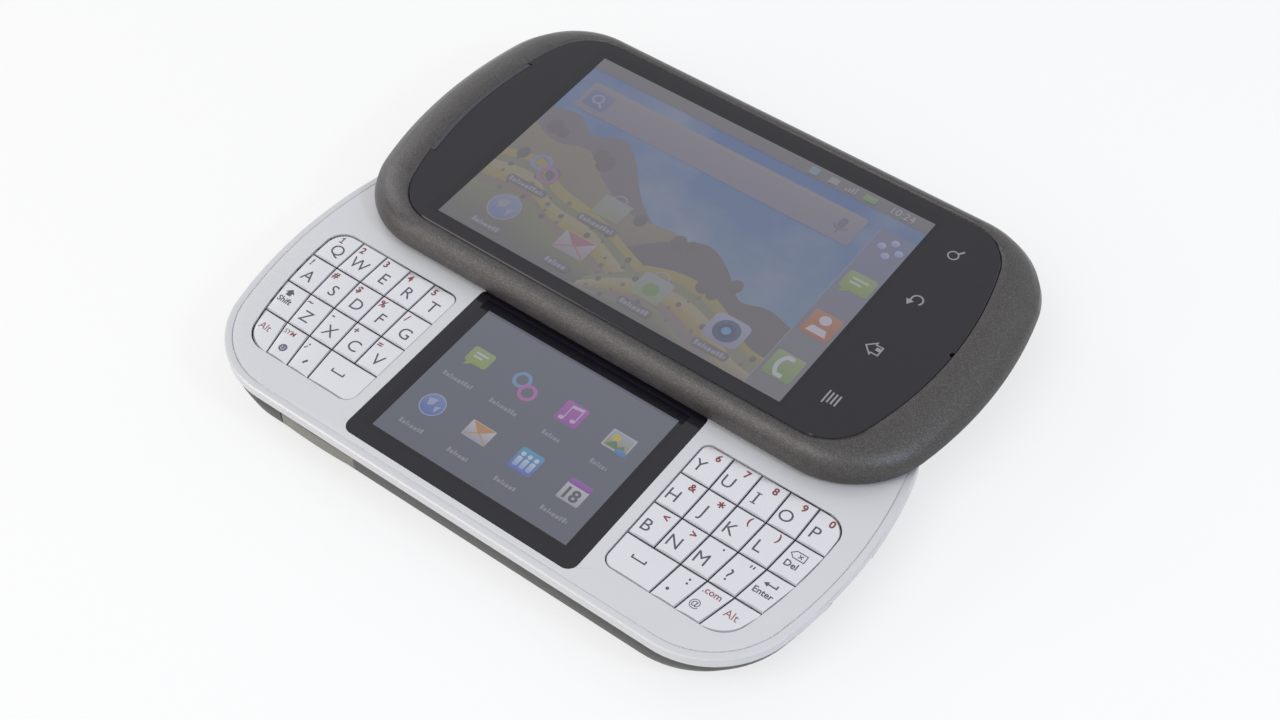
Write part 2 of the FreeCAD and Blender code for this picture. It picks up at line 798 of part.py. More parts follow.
def pad_prism(name, margin, level, height, trim):
    """The right keyboard's outline as a prism: straight inner edge, outer edge bowed like the body.

    Its corners are rounded by trim, a list of (right side, far side, radius)."""
    body = new_body(name)
    grow = num(margin)
    inner, outer = num("pad_inner") - grow, num("pad_arc") + grow
    far, near = num("pad_far") + grow, num("pad_near") - grow
    centre = num("pad_arc_centre")
    far_x = centre + math.sqrt(outer**2 - far**2)
    near_x = centre + math.sqrt(outer**2 - near**2)
    sketch = new_sketch(body, name + "_outline", height=level)
    far_line = sketch.addGeometry(Part.LineSegment(V(far_x, far, 0), V(inner, far, 0)))
    inner_line = sketch.addGeometry(Part.LineSegment(V(inner, far, 0), V(inner, near, 0)))
    near_line = sketch.addGeometry(Part.LineSegment(V(inner, near, 0), V(near_x, near, 0)))
    circle = Part.Circle(V(centre, 0, 0), V(0, 0, 1), outer)
    start, end = math.atan2(near, near_x - centre), math.atan2(far, far_x - centre)
    bow = sketch.addGeometry(Part.ArcOfCircle(circle, start, end))
    chain = [far_line, inner_line, near_line, bow]
    for here, there in zip(chain, chain[1:] + chain[:1]):
        sketch.addConstraint(Sketcher.Constraint("Coincident", here, LINE_END, there, LINE_START))
    for edge in (far_line, near_line):
        sketch.addConstraint(Sketcher.Constraint("Horizontal", edge))
    sketch.addConstraint(Sketcher.Constraint("Vertical", inner_line))
    sketch.addConstraint(Sketcher.Constraint("PointOnObject", bow, CENTRE, X_AXIS))
    inner_place = Sketcher.Constraint("DistanceX", ORIGIN, LINE_START, inner_line, LINE_START, inner)
    far_place = Sketcher.Constraint("DistanceY", ORIGIN, LINE_START, far_line, LINE_START, far)
    near_place = Sketcher.Constraint("DistanceY", near_line, LINE_START, ORIGIN, LINE_START, -near)
    centre_place = Sketcher.Constraint("DistanceX", bow, CENTRE, ORIGIN, LINE_START, -centre)
    places = (
        ("inner", inner_place, f"dims.pad_inner - dims.{margin}"),
        ("far", far_place, f"dims.pad_far + dims.{margin}"),
        ("near", near_place, f"-dims.pad_near + dims.{margin}"),
        ("bow", Sketcher.Constraint("Radius", bow, outer), f"dims.pad_arc + dims.{margin}"),
        ("centre", centre_place, "-dims.pad_arc_centre"),
    )
    for label, constraint, expression in places:
        bind(sketch, label, constraint, expression)
    prism = pad(body, name + "_block", sketch, height)
    for right, far_side, radius in trim:
        prism = round_corner(body, prism, right, far_side, f"dims.{radius} + dims.{margin}")
    return body


def round_corner(body, feature, right, far, radius):
    """Round one upright edge of a body's latest feature: the one furthest out that way."""
    doc.recompute()
    edges = feature.Shape.Edges
    uprights = [number for number, edge in enumerate(edges, start=1) if upright(edge)]
    x_way, y_way = (1 if right else -1), (1 if far else -1)

    def reach(number):
        middle = edges[number - 1].CenterOfMass
        return x_way * middle.x + 2 * y_way * middle.y

    number = max(uprights, key=reach)
    fillet = body.newObject("PartDesign::Fillet", f"{feature.Name}_round")
    fillet.Base = (feature, [f"Edge{number}"])
    fillet.setExpression("Radius", radius)
    return fillet


def mirrored(name, source):
    """The same piece on the left side."""
    twin = doc.addObject("Part::Mirroring", name)
    twin.Source = source
    twin.Normal = V(1, 0, 0)
    return twin


PAD_CORNERS = [
    (True, True, "far_outer_corner"),
    (True, False, "near_outer_corner"),
    (False, True, "far_inner_corner"),
    (False, False, "near_inner_corner"),
]


def rounded_plate(name, corner, size, radius):
    """A block with its four upright edges rounded."""
    return round_edges(name, block(name + "_block", corner, size), radius, upright)


def keypad_fascia():
    """The silver top plate with its skirt, windows for keys and display, and an engraved line."""
    body = new_body("fascia_shell")
    pad(body, "fascia_plate", barrel(body, "fascia"), "dims.skirt_height")
    hollow = "dims.skirt_height - dims.fascia_thickness"
    pocket(body, "fascia_hollow", barrel(body, "fascia_inside"), hollow, upwards=True)
    doc.recompute()
    top = num("base_height")

    def outer_top(edge):
        return edge.BoundBox.ZMin > top - LEVEL_BAND

    edged = bevel_edges("fascia_edge_cut", body, "fascia_edge", outer_top)

    outer_ring, inner_ring = new_body("groove_outer_form"), new_body("groove_inner_form")
    for ring, outline in ((outer_ring, "groove_outside"), (inner_ring, "groove_inside")):
        sketch = barrel(ring, outline, "dims.base_height - dims.groove_depth")
        pad(ring, outline + "_pad", sketch, "2 * dims.groove_depth")
    groove = cut("groove", outer_ring, [inner_ring])

    depth = "2 * dims.skirt_height"
    window = pad_prism("right_pad_window", "pad_gap", "dims.skirt_level", depth, PAD_CORNERS)
    glass_window = rounded_plate(
        "glass_window",
        (
            "-dims.second_glass_length / 2 - dims.fit_gap",
            "dims.second_glass_near - dims.fit_gap",
            "dims.skirt_level",
        ),
        (
            "dims.second_glass_length + 2 * dims.fit_gap",
            "dims.second_glass_far - dims.second_glass_near + 2 * dims.fit_gap",
            "2 * dims.skirt_height",
        ),
        "second_glass_corner",
    )
    scoop = block(
        "usb_scoop_cut",
        (
            "dims.body_length / 2 - dims.usb_scoop_reach",
            "dims.usb_offset - dims.usb_scoop / 2",
            "dims.skirt_level - dims.cut_over",
        ),
        ("2 * dims.usb_scoop_reach", "dims.usb_scoop", "dims.usb_scoop_height + dims.cut_over"),
    )
    holes = []
    for side, (x, y) in SCREW_PLACES.items():
        place = (x, y, "dims.skirt_level")
        radius = "dims.screw_shank + dims.fit_gap"
        holes.append(rod(f"fascia_hole_{side}", place, radius, "2 * dims.skirt_height"))
    windows = [groove, window, mirrored("left_pad_window", window), glass_window, scoop]
    return cut("keypad_fascia", edged, windows + holes)


# ---------------------------------------------------------------- second display

def second_glass():
    """The second display's window, let into the fascia."""
    return rounded_plate(
        "second_glass",
        ("-dims.second_glass_length / 2", "dims.second_glass_near", "dims.second_glass_level"),
        (
            "dims.second_glass_length",
            "dims.second_glass_far - dims.second_glass_near",
            "dims.second_glass_thickness",
        ),
        "second_glass_corner",
    )


def second_lcd():
    """Its panel, which stands on the board."""
    return block(
        "second_lcd",
        ("-dims.second_lcd_length / 2", "dims.second_lcd_near", "dims.board_top"),
        (
            "dims.second_lcd_length",
            "dims.second_lcd_far - dims.second_lcd_near",
            "dims.second_glass_level - dims.glass_gap - dims.board_top",
        ),
    )


# ---------------------------------------------------------------- keys

RIGHT_ROWS = [
    ["key_y", "key_u", "key_i", "key_o", "key_p"],
    ["key_h", "key_j", "key_k", "key_l", "key_del"],
    ["key_b", "key_n", "key_m", "key_question", "key_enter"],
    ["key_space_right", "key_space_right", "key_period", "key_at", "key_alt_right"],
]
LEFT_ROWS = [
    ["key_t", "key_r", "key_e", "key_w", "key_q"],
    ["key_g", "key_f", "key_d", "key_s", "key_a"],
    ["key_v", "key_c", "key_x", "key_z", "key_shift"],
    ["key_space_left", "key_space_left", "key_comma", "key_sym", "key_alt_left"],
]


def row_edge(row, near):
    """The far or near edge of a row of keys, with half a gap taken off inside the keyboard."""
    line = row + 1 if near else row
    if line in (0, len(RIGHT_ROWS)):
        gap = ""
    else:
        gap = " + dims.key_gap / 2" if near else " - dims.key_gap / 2"
    return f"(dims.pad_far - {line} * dims.row_pitch{gap})"


def column_edge(column, y, outer):
    """The inner or outer edge of a column at a row edge: a share of the way to the bowed outline."""
    columns = len(RIGHT_ROWS[0])
    line = column + 1 if outer else column
    if line in (0, columns):
        gap = ""
    else:
        gap = " - dims.key_gap / 2" if outer else " + dims.key_gap / 2"
    reach = f"(dims.pad_arc_centre + sqrt(dims.pad_arc^2 - {y}^2) - dims.pad_inner)"
    return f"(dims.pad_inner + {line} / {columns} * {reach}{gap})"


def value(expression):
    """An expression's present value, for placing geometry before its constraints are bound."""
    return float(sheet.evalExpression(expression))


def key_plan(body, name, row, first, last):
    """A key's outline from above: its far and near edges run along X, its sides lean with the bow."""
    sketch = new_sketch(body, name + "_plan", height="dims.key_level")
    far, near = row_edge(row, False), row_edge(row, True)
    corners = [
        (column_edge(last, far, True), far),
        (column_edge(first, far, False), far),
        (column_edge(first, near, False), near),
        (column_edge(last, near, True), near),
    ]
    points = [V(value(x), value(y), 0) for x, y in corners]
    lines = []
    for start, end in zip(points, points[1:] + points[:1]):
        lines.append(sketch.addGeometry(Part.LineSegment(start, end)))
    for here, there in zip(lines, lines[1:] + lines[:1]):
        sketch.addConstraint(Sketcher.Constraint("Coincident", here, LINE_END, there, LINE_START))
    for edge in (lines[0], lines[2]):
        sketch.addConstraint(Sketcher.Constraint("Horizontal", edge))
    for number, (x, y) in enumerate(corners):
        along = Sketcher.Constraint("DistanceX", ORIGIN, LINE_START, lines[number], LINE_START, value(x))
        bind(sketch, f"corner_{number}", along, x)
    for label, number in (("far", 0), ("near", 2)):
        y = corners[number][1]
        middle, edge = (ORIGIN, LINE_START), (lines[number], LINE_START)
        if value(y) > 0:
            across = Sketcher.Constraint("DistanceY", *middle, *edge, value(y))
            bind(sketch, label, across, y)
        else:
            across = Sketcher.Constraint("DistanceY", *edge, *middle, -value(y))
            bind(sketch, label, across, f"-{y}")
    return sketch


def key_dome(body, name, row, first, last):
    """What is taken off a key's top to leave it domed from side to side."""
    far, near = row_edge(row, False), row_edge(row, True)
    sketch = new_sketch(body, name + "_dome", "XZ_Plane", f"-({far} + {near}) / 2")
    left, right = column_edge(first, far, False), column_edge(last, far, True)
    near_left, near_right = column_edge(first, near, False), column_edge(last, near, True)
    half = f"(({right} - {left}) / 2)"
    middle = f"(({left} + {right} + {near_left} + {near_right}) / 4)"
    radius = f"(({half}^2 + dims.key_crown^2) / (2 * dims.key_crown))"
    reach = f"(dims.dome_spread * {half})"
    top = "(dims.key_level + dims.key_height + dims.key_crown)"
    r, x, h, z = value(radius), value(middle), value(reach), value(top)
    turn = math.asin(h / r)
    quarter = math.pi / 2
    ceiling = z + num("key_height")
    edge_z = z - r + r * math.cos(turn)
    circle = Part.Circle(V(x, z - r, 0), V(0, 0, 1), r)
    dome = sketch.addGeometry(Part.ArcOfCircle(circle, quarter - turn, quarter + turn))
    left_line = sketch.addGeometry(Part.LineSegment(V(x - h, edge_z, 0), V(x - h, ceiling, 0)))
    roof = sketch.addGeometry(Part.LineSegment(V(x - h, ceiling, 0), V(x + h, ceiling, 0)))
    right_line = sketch.addGeometry(Part.LineSegment(V(x + h, ceiling, 0), V(x + h, edge_z, 0)))
    chain = [dome, left_line, roof, right_line]
    for here, there in zip(chain, chain[1:] + chain[:1]):
        sketch.addConstraint(Sketcher.Constraint("Coincident", here, LINE_END, there, LINE_START))
    sketch.addConstraint(Sketcher.Constraint("Horizontal", roof))
    for edge in (left_line, right_line):
        sketch.addConstraint(Sketcher.Constraint("Vertical", edge))
    roof_place = Sketcher.Constraint("DistanceY", ORIGIN, LINE_START, roof, LINE_START, ceiling)
    centre_place = Sketcher.Constraint("DistanceY", dome, CENTRE, ORIGIN, LINE_START, r - z)
    places = (
        ("radius", Sketcher.Constraint("Radius", dome, r), radius),
        ("middle", Sketcher.Constraint("DistanceX", ORIGIN, LINE_START, dome, CENTRE, x), middle),
        ("left", Sketcher.Constraint("DistanceX", roof, LINE_START, dome, CENTRE, h), reach),
        ("right", Sketcher.Constraint("DistanceX", dome, CENTRE, roof, LINE_END, h), reach),
        ("ceiling", roof_place, f"{top} + dims.key_height"),
        ("centre", centre_place, f"{radius} - {top}"),
    )
    for label, constraint, expression in places:
        bind(sketch, label, constraint, expression)
    return sketch


def right_key(name, row, first, last):
    """One key of the right keyboard, over the columns first to last."""
    body = new_body(name)
    plan = key_plan(body, name, row, first, last)
    shape = pad(body, name + "_block", plan, "dims.key_height + dims.key_crown")
    far_row, near_row = row == 0, row == len(RIGHT_ROWS) - 1
    inner_column, outer_column = first == 0, last == len(RIGHT_ROWS[0]) - 1
    for right, far, radius in PAD_CORNERS:
        if (outer_column if right else inner_column) and (far_row if far else near_row):
            shape = round_corner(body, shape, right, far, f"dims.{radius}")
    doc.recompute()
    top = num("key_level") + num("key_height")
    rim = [number for number, edge in enumerate(shape.Shape.Edges, start=1) if edge.BoundBox.ZMin > top]
    edged = body.newObject("PartDesign::Chamfer", name + "_edge")
    edged.Base = (shape, [f"Edge{number}" for number in rim])
    edged.setExpression("Size", "dims.key_edge")
    dome = body.newObject("PartDesign::Pocket", name + "_top")
    dome.Profile = (key_dome(body, name, row, first, last), [""])
    dome.SideType = "Symmetric"
    dome.setExpression("Length", "2 * dims.row_pitch")
    return body


def keyboard():
    """Both halves: the right one is modelled, the left one is its mirror image."""
    keys = []
    for row, (right_names, left_names) in enumerate(zip(RIGHT_ROWS, LEFT_ROWS)):
        for name in dict.fromkeys(right_names):
            first = right_names.index(name)
            last = first + right_names.count(name) - 1
            key = right_key(name, row, first, last)
            keys += [key, mirrored(left_names[first], key)]
    return keys


def keypad_sheets():
    """The rubber sheets with the key switches, one below each half of the keyboard."""
    sheet_form = pad_prism("keypad_sheet_right", "sheet_margin", "dims.board_top", "dims.sheet_height", [])
    both = doc.addObject("Part::Compound", "keypad_sheets")
    both.Links = [sheet_form, mirrored("keypad_sheet_left", sheet_form)]
    return both


# ---------------------------------------------------------------- keys at the sides

def rocker_form():
    """The rocker's button in plan: a long face that bows out a little, with soft ends."""
    body = new_body("volume_rocker_button")
    half, heel = num("rocker_length") / 2, num("rocker_pivot")
    tip = num("housing_face") + num("rocker_proud")
    rise, middle = num("rocker_bow"), num("rocker_centre")
    radius = (half**2 + rise**2) / (2 * rise)
    sketch = new_sketch(body, "rocker_plan", height="dims.rocker_level - dims.rocker_height / 2")
    left_x, right_x, shoulder = middle - half, middle + half, rise - tip
    left_line = sketch.addGeometry(Part.LineSegment(V(left_x, -heel, 0), V(left_x, shoulder, 0)))
    circle = Part.Circle(V(middle, radius - tip, 0), V(0, 0, 1), radius)
    turn = math.asin(half / radius)
    face = sketch.addGeometry(Part.ArcOfCircle(circle, -math.pi / 2 - turn, -math.pi / 2 + turn))
    right_line = sketch.addGeometry(Part.LineSegment(V(right_x, shoulder, 0), V(right_x, -heel, 0)))
    back = sketch.addGeometry(Part.LineSegment(V(right_x, -heel, 0), V(left_x, -heel, 0)))
    chain = [left_line, face, right_line, back]
    for here, there in zip(chain, chain[1:] + chain[:1]):
        sketch.addConstraint(Sketcher.Constraint("Coincident", here, LINE_END, there, LINE_START))
    sketch.addConstraint(Sketcher.Constraint("Horizontal", back))
    for edge in (left_line, right_line):
        sketch.addConstraint(Sketcher.Constraint("Vertical", edge))
    sketch.addConstraint(Sketcher.Constraint("Equal", left_line, right_line))
    length = "dims.rocker_length"
    heel_place = Sketcher.Constraint("DistanceY", back, LINE_END, ORIGIN, LINE_START, heel)
    places = (
        ("heel", heel_place, "dims.rocker_pivot"),
        (
            "shoulder",
            Sketcher.Constraint("DistanceY", left_line, LINE_END, ORIGIN, LINE_START, tip - rise),
            "dims.housing_face + dims.rocker_proud - dims.rocker_bow",
        ),
        ("length", Sketcher.Constraint("DistanceX", back, LINE_END, back, LINE_START, 2 * half), length),
        (
            "left",
            Sketcher.Constraint("DistanceX", back, LINE_END, ORIGIN, LINE_START, half - middle),
            "dims.rocker_length / 2 - dims.rocker_centre",
        ),
        (
            "bow",
            Sketcher.Constraint("Radius", face, radius),
            "(dims.rocker_length^2 / 4 + dims.rocker_bow^2) / (2 * dims.rocker_bow)",
        ),
    )
    for label, constraint, expression in places:
        bind(sketch, label, constraint, expression)
    pad(body, "rocker_height", sketch, "dims.rocker_height")
    return body


def volume_rocker():
    """A rocker that tips to either side over a rib behind its middle; its flange keeps it in."""
    flange = block(
        "rocker_flange",
        (
            "dims.rocker_centre - dims.rocker_length / 2 - dims.side_key_rim",
            "-dims.rocker_pivot - dims.side_key_flange",
            "dims.rocker_level - dims.rocker_height / 2 - dims.side_key_rim",
        ),
        (
            "dims.rocker_length + 2 * dims.side_key_rim",
            "dims.side_key_flange",
            "dims.rocker_height + 2 * dims.side_key_rim",
        ),
    )
    button = rocker_form()
    doc.recompute()
    front = -num("rocker_pivot") - num("side_key_flange") - num("side_key_wall") / 2

    def outer_edge(edge):
        return edge.BoundBox.YMax < front

    soft = bevel_edges("rocker_soft_button", button, "side_key_round", outer_edge)
    return fuse("volume_rocker", [soft, flange])


def camera_key():
    """The shutter key in the far side wall."""
    inside = "dims.housing_face - dims.side_key_wall"
    foot = f"({inside} - dims.stop_gap - dims.side_key_flange)"
    button = block(
        "camera_key_block",
        (
            "dims.camera_key_centre - dims.camera_key_length / 2",
            foot,
            "dims.small_key_level - dims.small_key_height / 2",
        ),
        (
            "dims.camera_key_length",
            f"dims.housing_face + dims.side_key_proud - {foot}",
            "dims.small_key_height",
        ),
    )
    doc.recompute()
    face = num("housing_face")

    def outer_edge(edge):
        return edge.BoundBox.YMin > face

    soft = round_edges("camera_key_button", button, "side_key_round", outer_edge)
    flange = block(
        "camera_key_flange",
        (
            "dims.camera_key_centre - dims.camera_key_length / 2 - dims.side_key_rim",
            foot,
            "dims.small_key_level - dims.small_key_height / 2 - dims.side_key_rim",
        ),
        (
            "dims.camera_key_length + 2 * dims.side_key_rim",
            "dims.side_key_flange",
            "dims.small_key_height + 2 * dims.side_key_rim",
        ),
    )
    return fuse("camera_key", [soft, flange])


def power_key():
    """The power key in the left end wall: its face and its flange follow the wall's bow."""
    parts = []
    for outline, grow in (("power_skin", "0"), ("power_flange", "dims.side_key_rim")):
        height = f"dims.small_key_height + 2 * {grow}"
        form = new_body(outline + "_form")
        pad(form, outline + "_pad", barrel(form, outline), height)
        slab = block(
            outline + "_slab",
            (
                "-dims.body_length / 2",
                f"dims.power_offset - dims.power_length / 2 - {grow}",
                f"dims.small_key_level - dims.small_key_height / 2 - {grow}",
            ),
            ("dims.body_length / 2 - dims.power_heel", f"dims.power_length + 2 * {grow}", height),
        )
        parts.append(common(outline + "_piece", slab, form))
    return fuse("power_key", parts)


# ---------------------------------------------------------------- inside the base

def main_board():
    """The circuit board above the web, with the charging socket's shell below its right end."""
    body = new_body("main_board_plate")
    pad(body, "board_plate", barrel(body, "board"), "dims.board_thickness")
    jack_notch = block(
        "jack_notch",
        (
            "-dims.body_length / 2",
            "dims.jack_offset - dims.jack_width / 2 - dims.bay_clearance",
            "dims.web_level",
        ),
        (
            "dims.body_length / 2 - dims.side_bay_end + dims.jack_length + dims.bay_clearance",
            "dims.jack_width + 2 * dims.bay_clearance",
            "dims.base_height - dims.web_level",
        ),
    )
    post_holes = []
    for side, (x, y) in SCREW_PLACES.items():
        reach = "(dims.post_width / 2 + dims.bay_clearance)"
        corner = (f"{x} - {reach}", f"{y} - {reach}", "dims.web_level")
        size = (f"2 * {reach}", f"2 * {reach}", "dims.base_height - dims.web_level")
        post_holes.append(block(f"board_hole_{side}", corner, size))
    plate = cut("board_with_holes", body, [jack_notch] + post_holes)
    wall = "dims.usb_steel"
    shell = block(
        "usb_shell",
        (
            "dims.usb_mouth - dims.usb_depth",
            "dims.usb_offset - dims.usb_width / 2",
            "dims.board_level - dims.usb_height",
        ),
        ("dims.usb_depth", "dims.usb_width", "dims.usb_height"),
    )
    opening = block(
        "usb_opening",
        (
            f"dims.usb_mouth - dims.usb_depth + {wall}",
            f"dims.usb_offset - dims.usb_width / 2 + {wall}",
            f"dims.board_level - dims.usb_height + {wall}",
        ),
        ("dims.usb_depth", f"dims.usb_width - 2 * {wall}", f"dims.usb_height - 2 * {wall}"),
    )
    tongue = block(
        "usb_tongue",
        (
            "dims.usb_mouth - dims.usb_depth",
            "dims.usb_offset - dims.usb_tongue / 2",
            f"dims.board_level - {wall} - dims.usb_tongue_drop - dims.usb_tongue_thickness",
        ),
        ("dims.usb_depth - dims.usb_tongue_setback", "dims.usb_tongue", "dims.usb_tongue_thickness"),
    )
    side_switch = block(
        "camera_key_switch",
        (
            "dims.camera_key_centre - dims.switch_length / 2",
            "dims.switch_face - dims.switch_depth",
            "dims.board_top",
        ),
        ("dims.switch_length", "dims.switch_depth", "dims.switch_height"),
    )
    return fuse("main_board", [plate, cut("usb_socket", shell, [opening]), tongue, side_switch])


def battery():
    """A flat cell that lifts out of its bay once the cover is off."""
    cell = block(
        "battery_block",
        (
            "dims.battery_left",
            "-dims.battery_width / 2",
            "dims.web_level - dims.bay_clearance - dims.battery_thickness",
        ),
        ("dims.battery_length", "dims.battery_width", "dims.battery_thickness"),
    )
    return round_edges("battery", cell, "battery_corner", upright)


def headset_socket():
    """The socket for a 3.5 mm plug: a body in the left bay with a nose out through the end wall."""
    case = block(
        "headset_case",
        (
            "-dims.side_bay_end",
            "dims.jack_offset - dims.jack_width / 2",
            "dims.jack_level - dims.jack_height / 2",
        ),
        ("dims.jack_length", "dims.jack_width", "dims.jack_height"),
    )
    centre = ("-dims.jack_mouth", "dims.jack_offset", "dims.jack_level")
    reach = "dims.jack_mouth - dims.side_bay_end + dims.cut_over"
    nose = rod("headset_nose", centre, "dims.jack_nose_radius", reach, V(1, 0, 0))
    bore = rod("headset_bore", centre, "dims.jack_bore_radius", "dims.jack_bore_depth", V(1, 0, 0))
    return cut("headset_socket", fuse("headset_outside", [case, nose]), [bore])


def camera_module():
    """The camera: a square housing under the board and a barrel down through the back."""
    middle = "dims.camera_centre"
    case = block(
        "camera_case",
        (f"{middle} - dims.camera_body / 2", "-dims.camera_body / 2", "dims.camera_shoulder"),
        ("dims.camera_body", "dims.camera_body", "dims.board_level - dims.camera_shoulder"),
    )
    foot = (middle, "0", "dims.camera_sink")
    rise = "dims.camera_shoulder - dims.camera_sink"
    barrel_rod = rod("camera_barrel_rod", foot, "dims.camera_barrel", rise)
    recess = rod("camera_recess", foot, "dims.camera_window", "dims.camera_window_sink")
    return cut("camera_module", fuse("camera_outside", [case, barrel_rod]), [recess])


def loudspeaker():
    """The speaker in its sound box, open downwards over the slots in the cover."""
    box = block(
        "speaker_box",
        (
            "dims.speaker_centre - dims.speaker_length / 2",
            "-dims.speaker_offset - dims.speaker_width / 2",
            "dims.cover_floor",
        ),
        ("dims.speaker_length", "dims.speaker_width", "dims.board_level - dims.cover_floor"),
    )
    rounded = round_edges("speaker_rounded_box", box, "battery_corner", upright)
    pitches = len(SPEAKER_SLOTS) - 1
    mouth = block(
        "speaker_mouth",
        (
            f"dims.speaker_centre + {SPEAKER_SLOTS[0]} * dims.slot_pitch - dims.slot_width / 2",
            "-dims.speaker_offset - dims.slot_length / 2",
            "dims.cover_floor",
        ),
        (f"{pitches} * dims.slot_pitch + dims.slot_width", "dims.slot_length", "dims.slot_width"),
    )
    return cut("loudspeaker", rounded, [mouth])


# ---------------------------------------------------------------- slide mechanism

def slide_carriage():
    """The slide's fixed half, on top of the base: a neck between the channel's lips, and wings."""
    inner_half = "(dims.channel_width / 2 - dims.channel_lip - dims.run_gap)"
    wing_half = "(dims.channel_width / 2 - dims.channel_steel - dims.run_gap)"
    near = "dims.carriage_centre - dims.carriage_length / 2"
    neck = block(
        "carriage_neck",
        (f"-{inner_half}", near, "dims.base_height"),
        (f"2 * {inner_half}", "dims.carriage_length", "dims.carriage_height"),
    )
    wings = block(
        "carriage_wings",
        (f"-{wing_half}", near, "dims.slot_level + dims.run_gap"),
        (f"2 * {wing_half}", "dims.carriage_length", "dims.channel_slot - 2 * dims.run_gap"),
    )
    seats = []
    for side, (x, y) in SCREW_PLACES.items():
        foot = (x, y, "dims.base_height")
        hole_radius, seat_radius = "dims.screw_shank + dims.stop_gap", "dims.screw_head + dims.stop_gap"
        seats.append(rod(f"carriage_hole_{side}", foot, hole_radius, "dims.upper_height"))
        seat = (x, y, "dims.base_height + dims.carriage_height - dims.screw_sink")
        seats.append(rod(f"carriage_seat_{side}", seat, seat_radius, "dims.upper_height"))
    return cut("slide_carriage", fuse("carriage_plate", [neck, wings]), seats)


def base_screws():
    """The two flat-headed screws through carriage and fascia into the housing's posts."""
    screws = []
    for side, (x, y) in SCREW_PLACES.items():
        shank_length = "dims.screw_length - dims.screw_sink"
        tip = (x, y, "dims.screw_tip")
        shank = rod(f"screw_shank_{side}", tip, "dims.screw_shank", shank_length)
        seat = (x, y, "dims.base_height + dims.carriage_height - dims.screw_sink")
        head = rod(f"screw_head_{side}", seat, "dims.screw_head", "dims.screw_sink")
        slot = block(
            f"screw_slot_{side}",
            (
                f"{x} - dims.screw_slot / 2",
                f"{y} - dims.screw_head",
                "dims.base_height + dims.carriage_height - dims.screw_slot_depth",
            ),
            ("dims.screw_slot", "2 * dims.screw_head", "dims.screw_sink"),
        )
        screws.append(cut(f"base_screw_{side}", fuse(f"screw_blank_{side}", [shank, head]), [slot]))
    together = doc.addObject("Part::Compound", "base_screws")
    together.Links = screws
    return together


def slide_channel():
    """The slide's moving half: a folded steel channel whose closed ends stop the carriage."""
    half_run = "(dims.channel_run / 2)"
    half_outer = "(dims.channel_width / 2)"
    steel = "dims.channel_steel"
    outside = block(
        "channel_outside",
        (f"-{half_outer}", f"-{half_run} - {steel}", "dims.channel_level"),
        ("dims.channel_width", f"dims.channel_run + 2 * {steel}", "dims.channel_top - dims.channel_level"),
        on_upper=True,
    )
    inside = block(
        "channel_inside",
        (f"-{half_outer} + {steel}", f"-{half_run}", "dims.slot_level"),
        (f"dims.channel_width - 2 * {steel}", "dims.channel_run", "dims.channel_slot"),
        on_upper=True,
    )
    mouth = block(
        "channel_mouth",
        (f"-{half_outer} + dims.channel_lip", f"-{half_run}", "dims.base_height"),
        (
            "dims.channel_width - 2 * dims.channel_lip",
            "dims.channel_run",
            "dims.slot_level - dims.base_height",
        ),
        on_upper=True,
    )
    return cut("slide_channel", outside, [inside, mouth])


# ---------------------------------------------------------------- upper half

def upper_back():
    """The upper half's back plate, whose pocket takes the slide's channel."""
    body = new_body("upper_back_shell", on_upper=True)
    loft(body, "upper_back_skin", [barrel(body, name) for name in ("back_foot", "back_heel", "back_seam")])
    pad(body, "upper_back_floor", barrel(body, "back_lip"), "dims.back_top - dims.seam_level")
    room = block(
        "channel_pocket",
        (
            "-dims.channel_width / 2 - dims.fit_gap / 2",
            "-dims.channel_run / 2 - dims.channel_steel - dims.fit_gap / 2",
            "dims.base_height",
        ),
        (
            "dims.channel_width + dims.fit_gap",
            "dims.channel_run + 2 * dims.channel_steel + dims.fit_gap",
            "dims.channel_top - dims.base_height",
        ),
        on_upper=True,
    )
    return cut("upper_back", body, [room])


def upper_bezel():
    """The upper half's body: a waist, a shoulder up to the glass, and a ledge under it."""
    body = new_body("upper_bezel_shell", on_upper=True)
    sections = ["bezel_seam"] + [f"crown_{number}" for number in range(len(CROWN_SHARES))]
    loft(body, "bezel_skin", [barrel(body, name) for name in sections])
    hollow = "dims.ledge_level - dims.seam_level"
    pocket(body, "bezel_hollow", barrel(body, "bezel_inside"), hollow, upwards=True)
    pocket(body, "glass_recess", barrel(body, "bezel_recess"), "dims.upper_height", upwards=True)
    view = block(
        "main_view",
        (
            "dims.main_lcd_shift - dims.main_view_length / 2",
            "dims.main_lcd_drop - dims.main_view_width / 2",
            "dims.ledge_level - dims.cut_over",
        ),
        ("dims.main_view_length", "dims.main_view_width", "dims.upper_height"),
        on_upper=True,
    )
    return cut("upper_bezel", body, [view])


def ring_piece(name, outer, inner, margin):
    """A strip along the glass's left end: between two outlines, and as long as the earpiece."""
    forms = []
    for outline in (outer, inner):
        form = new_body(f"{name}_{outline}_form", on_upper=True)
        height = "dims.earpiece_thickness" if margin == "0" else "2 * dims.glass_thickness"
        pad(form, f"{name}_{outline}_pad", barrel(form, outline), height)
        forms.append(form)
    strip = block(
        name + "_strip",
        (
            "-dims.body_length / 2",
            f"-dims.earpiece_length / 2 - {margin}",
            "dims.glass_level",
        ),
        (
            "2 * dims.bezel_end",
            f"dims.earpiece_length + 2 * {margin}",
            "2 * dims.glass_thickness",
        ),
        on_upper=True,
    )
    return common(name, strip, cut(name + "_ring", forms[0], [forms[1]]))


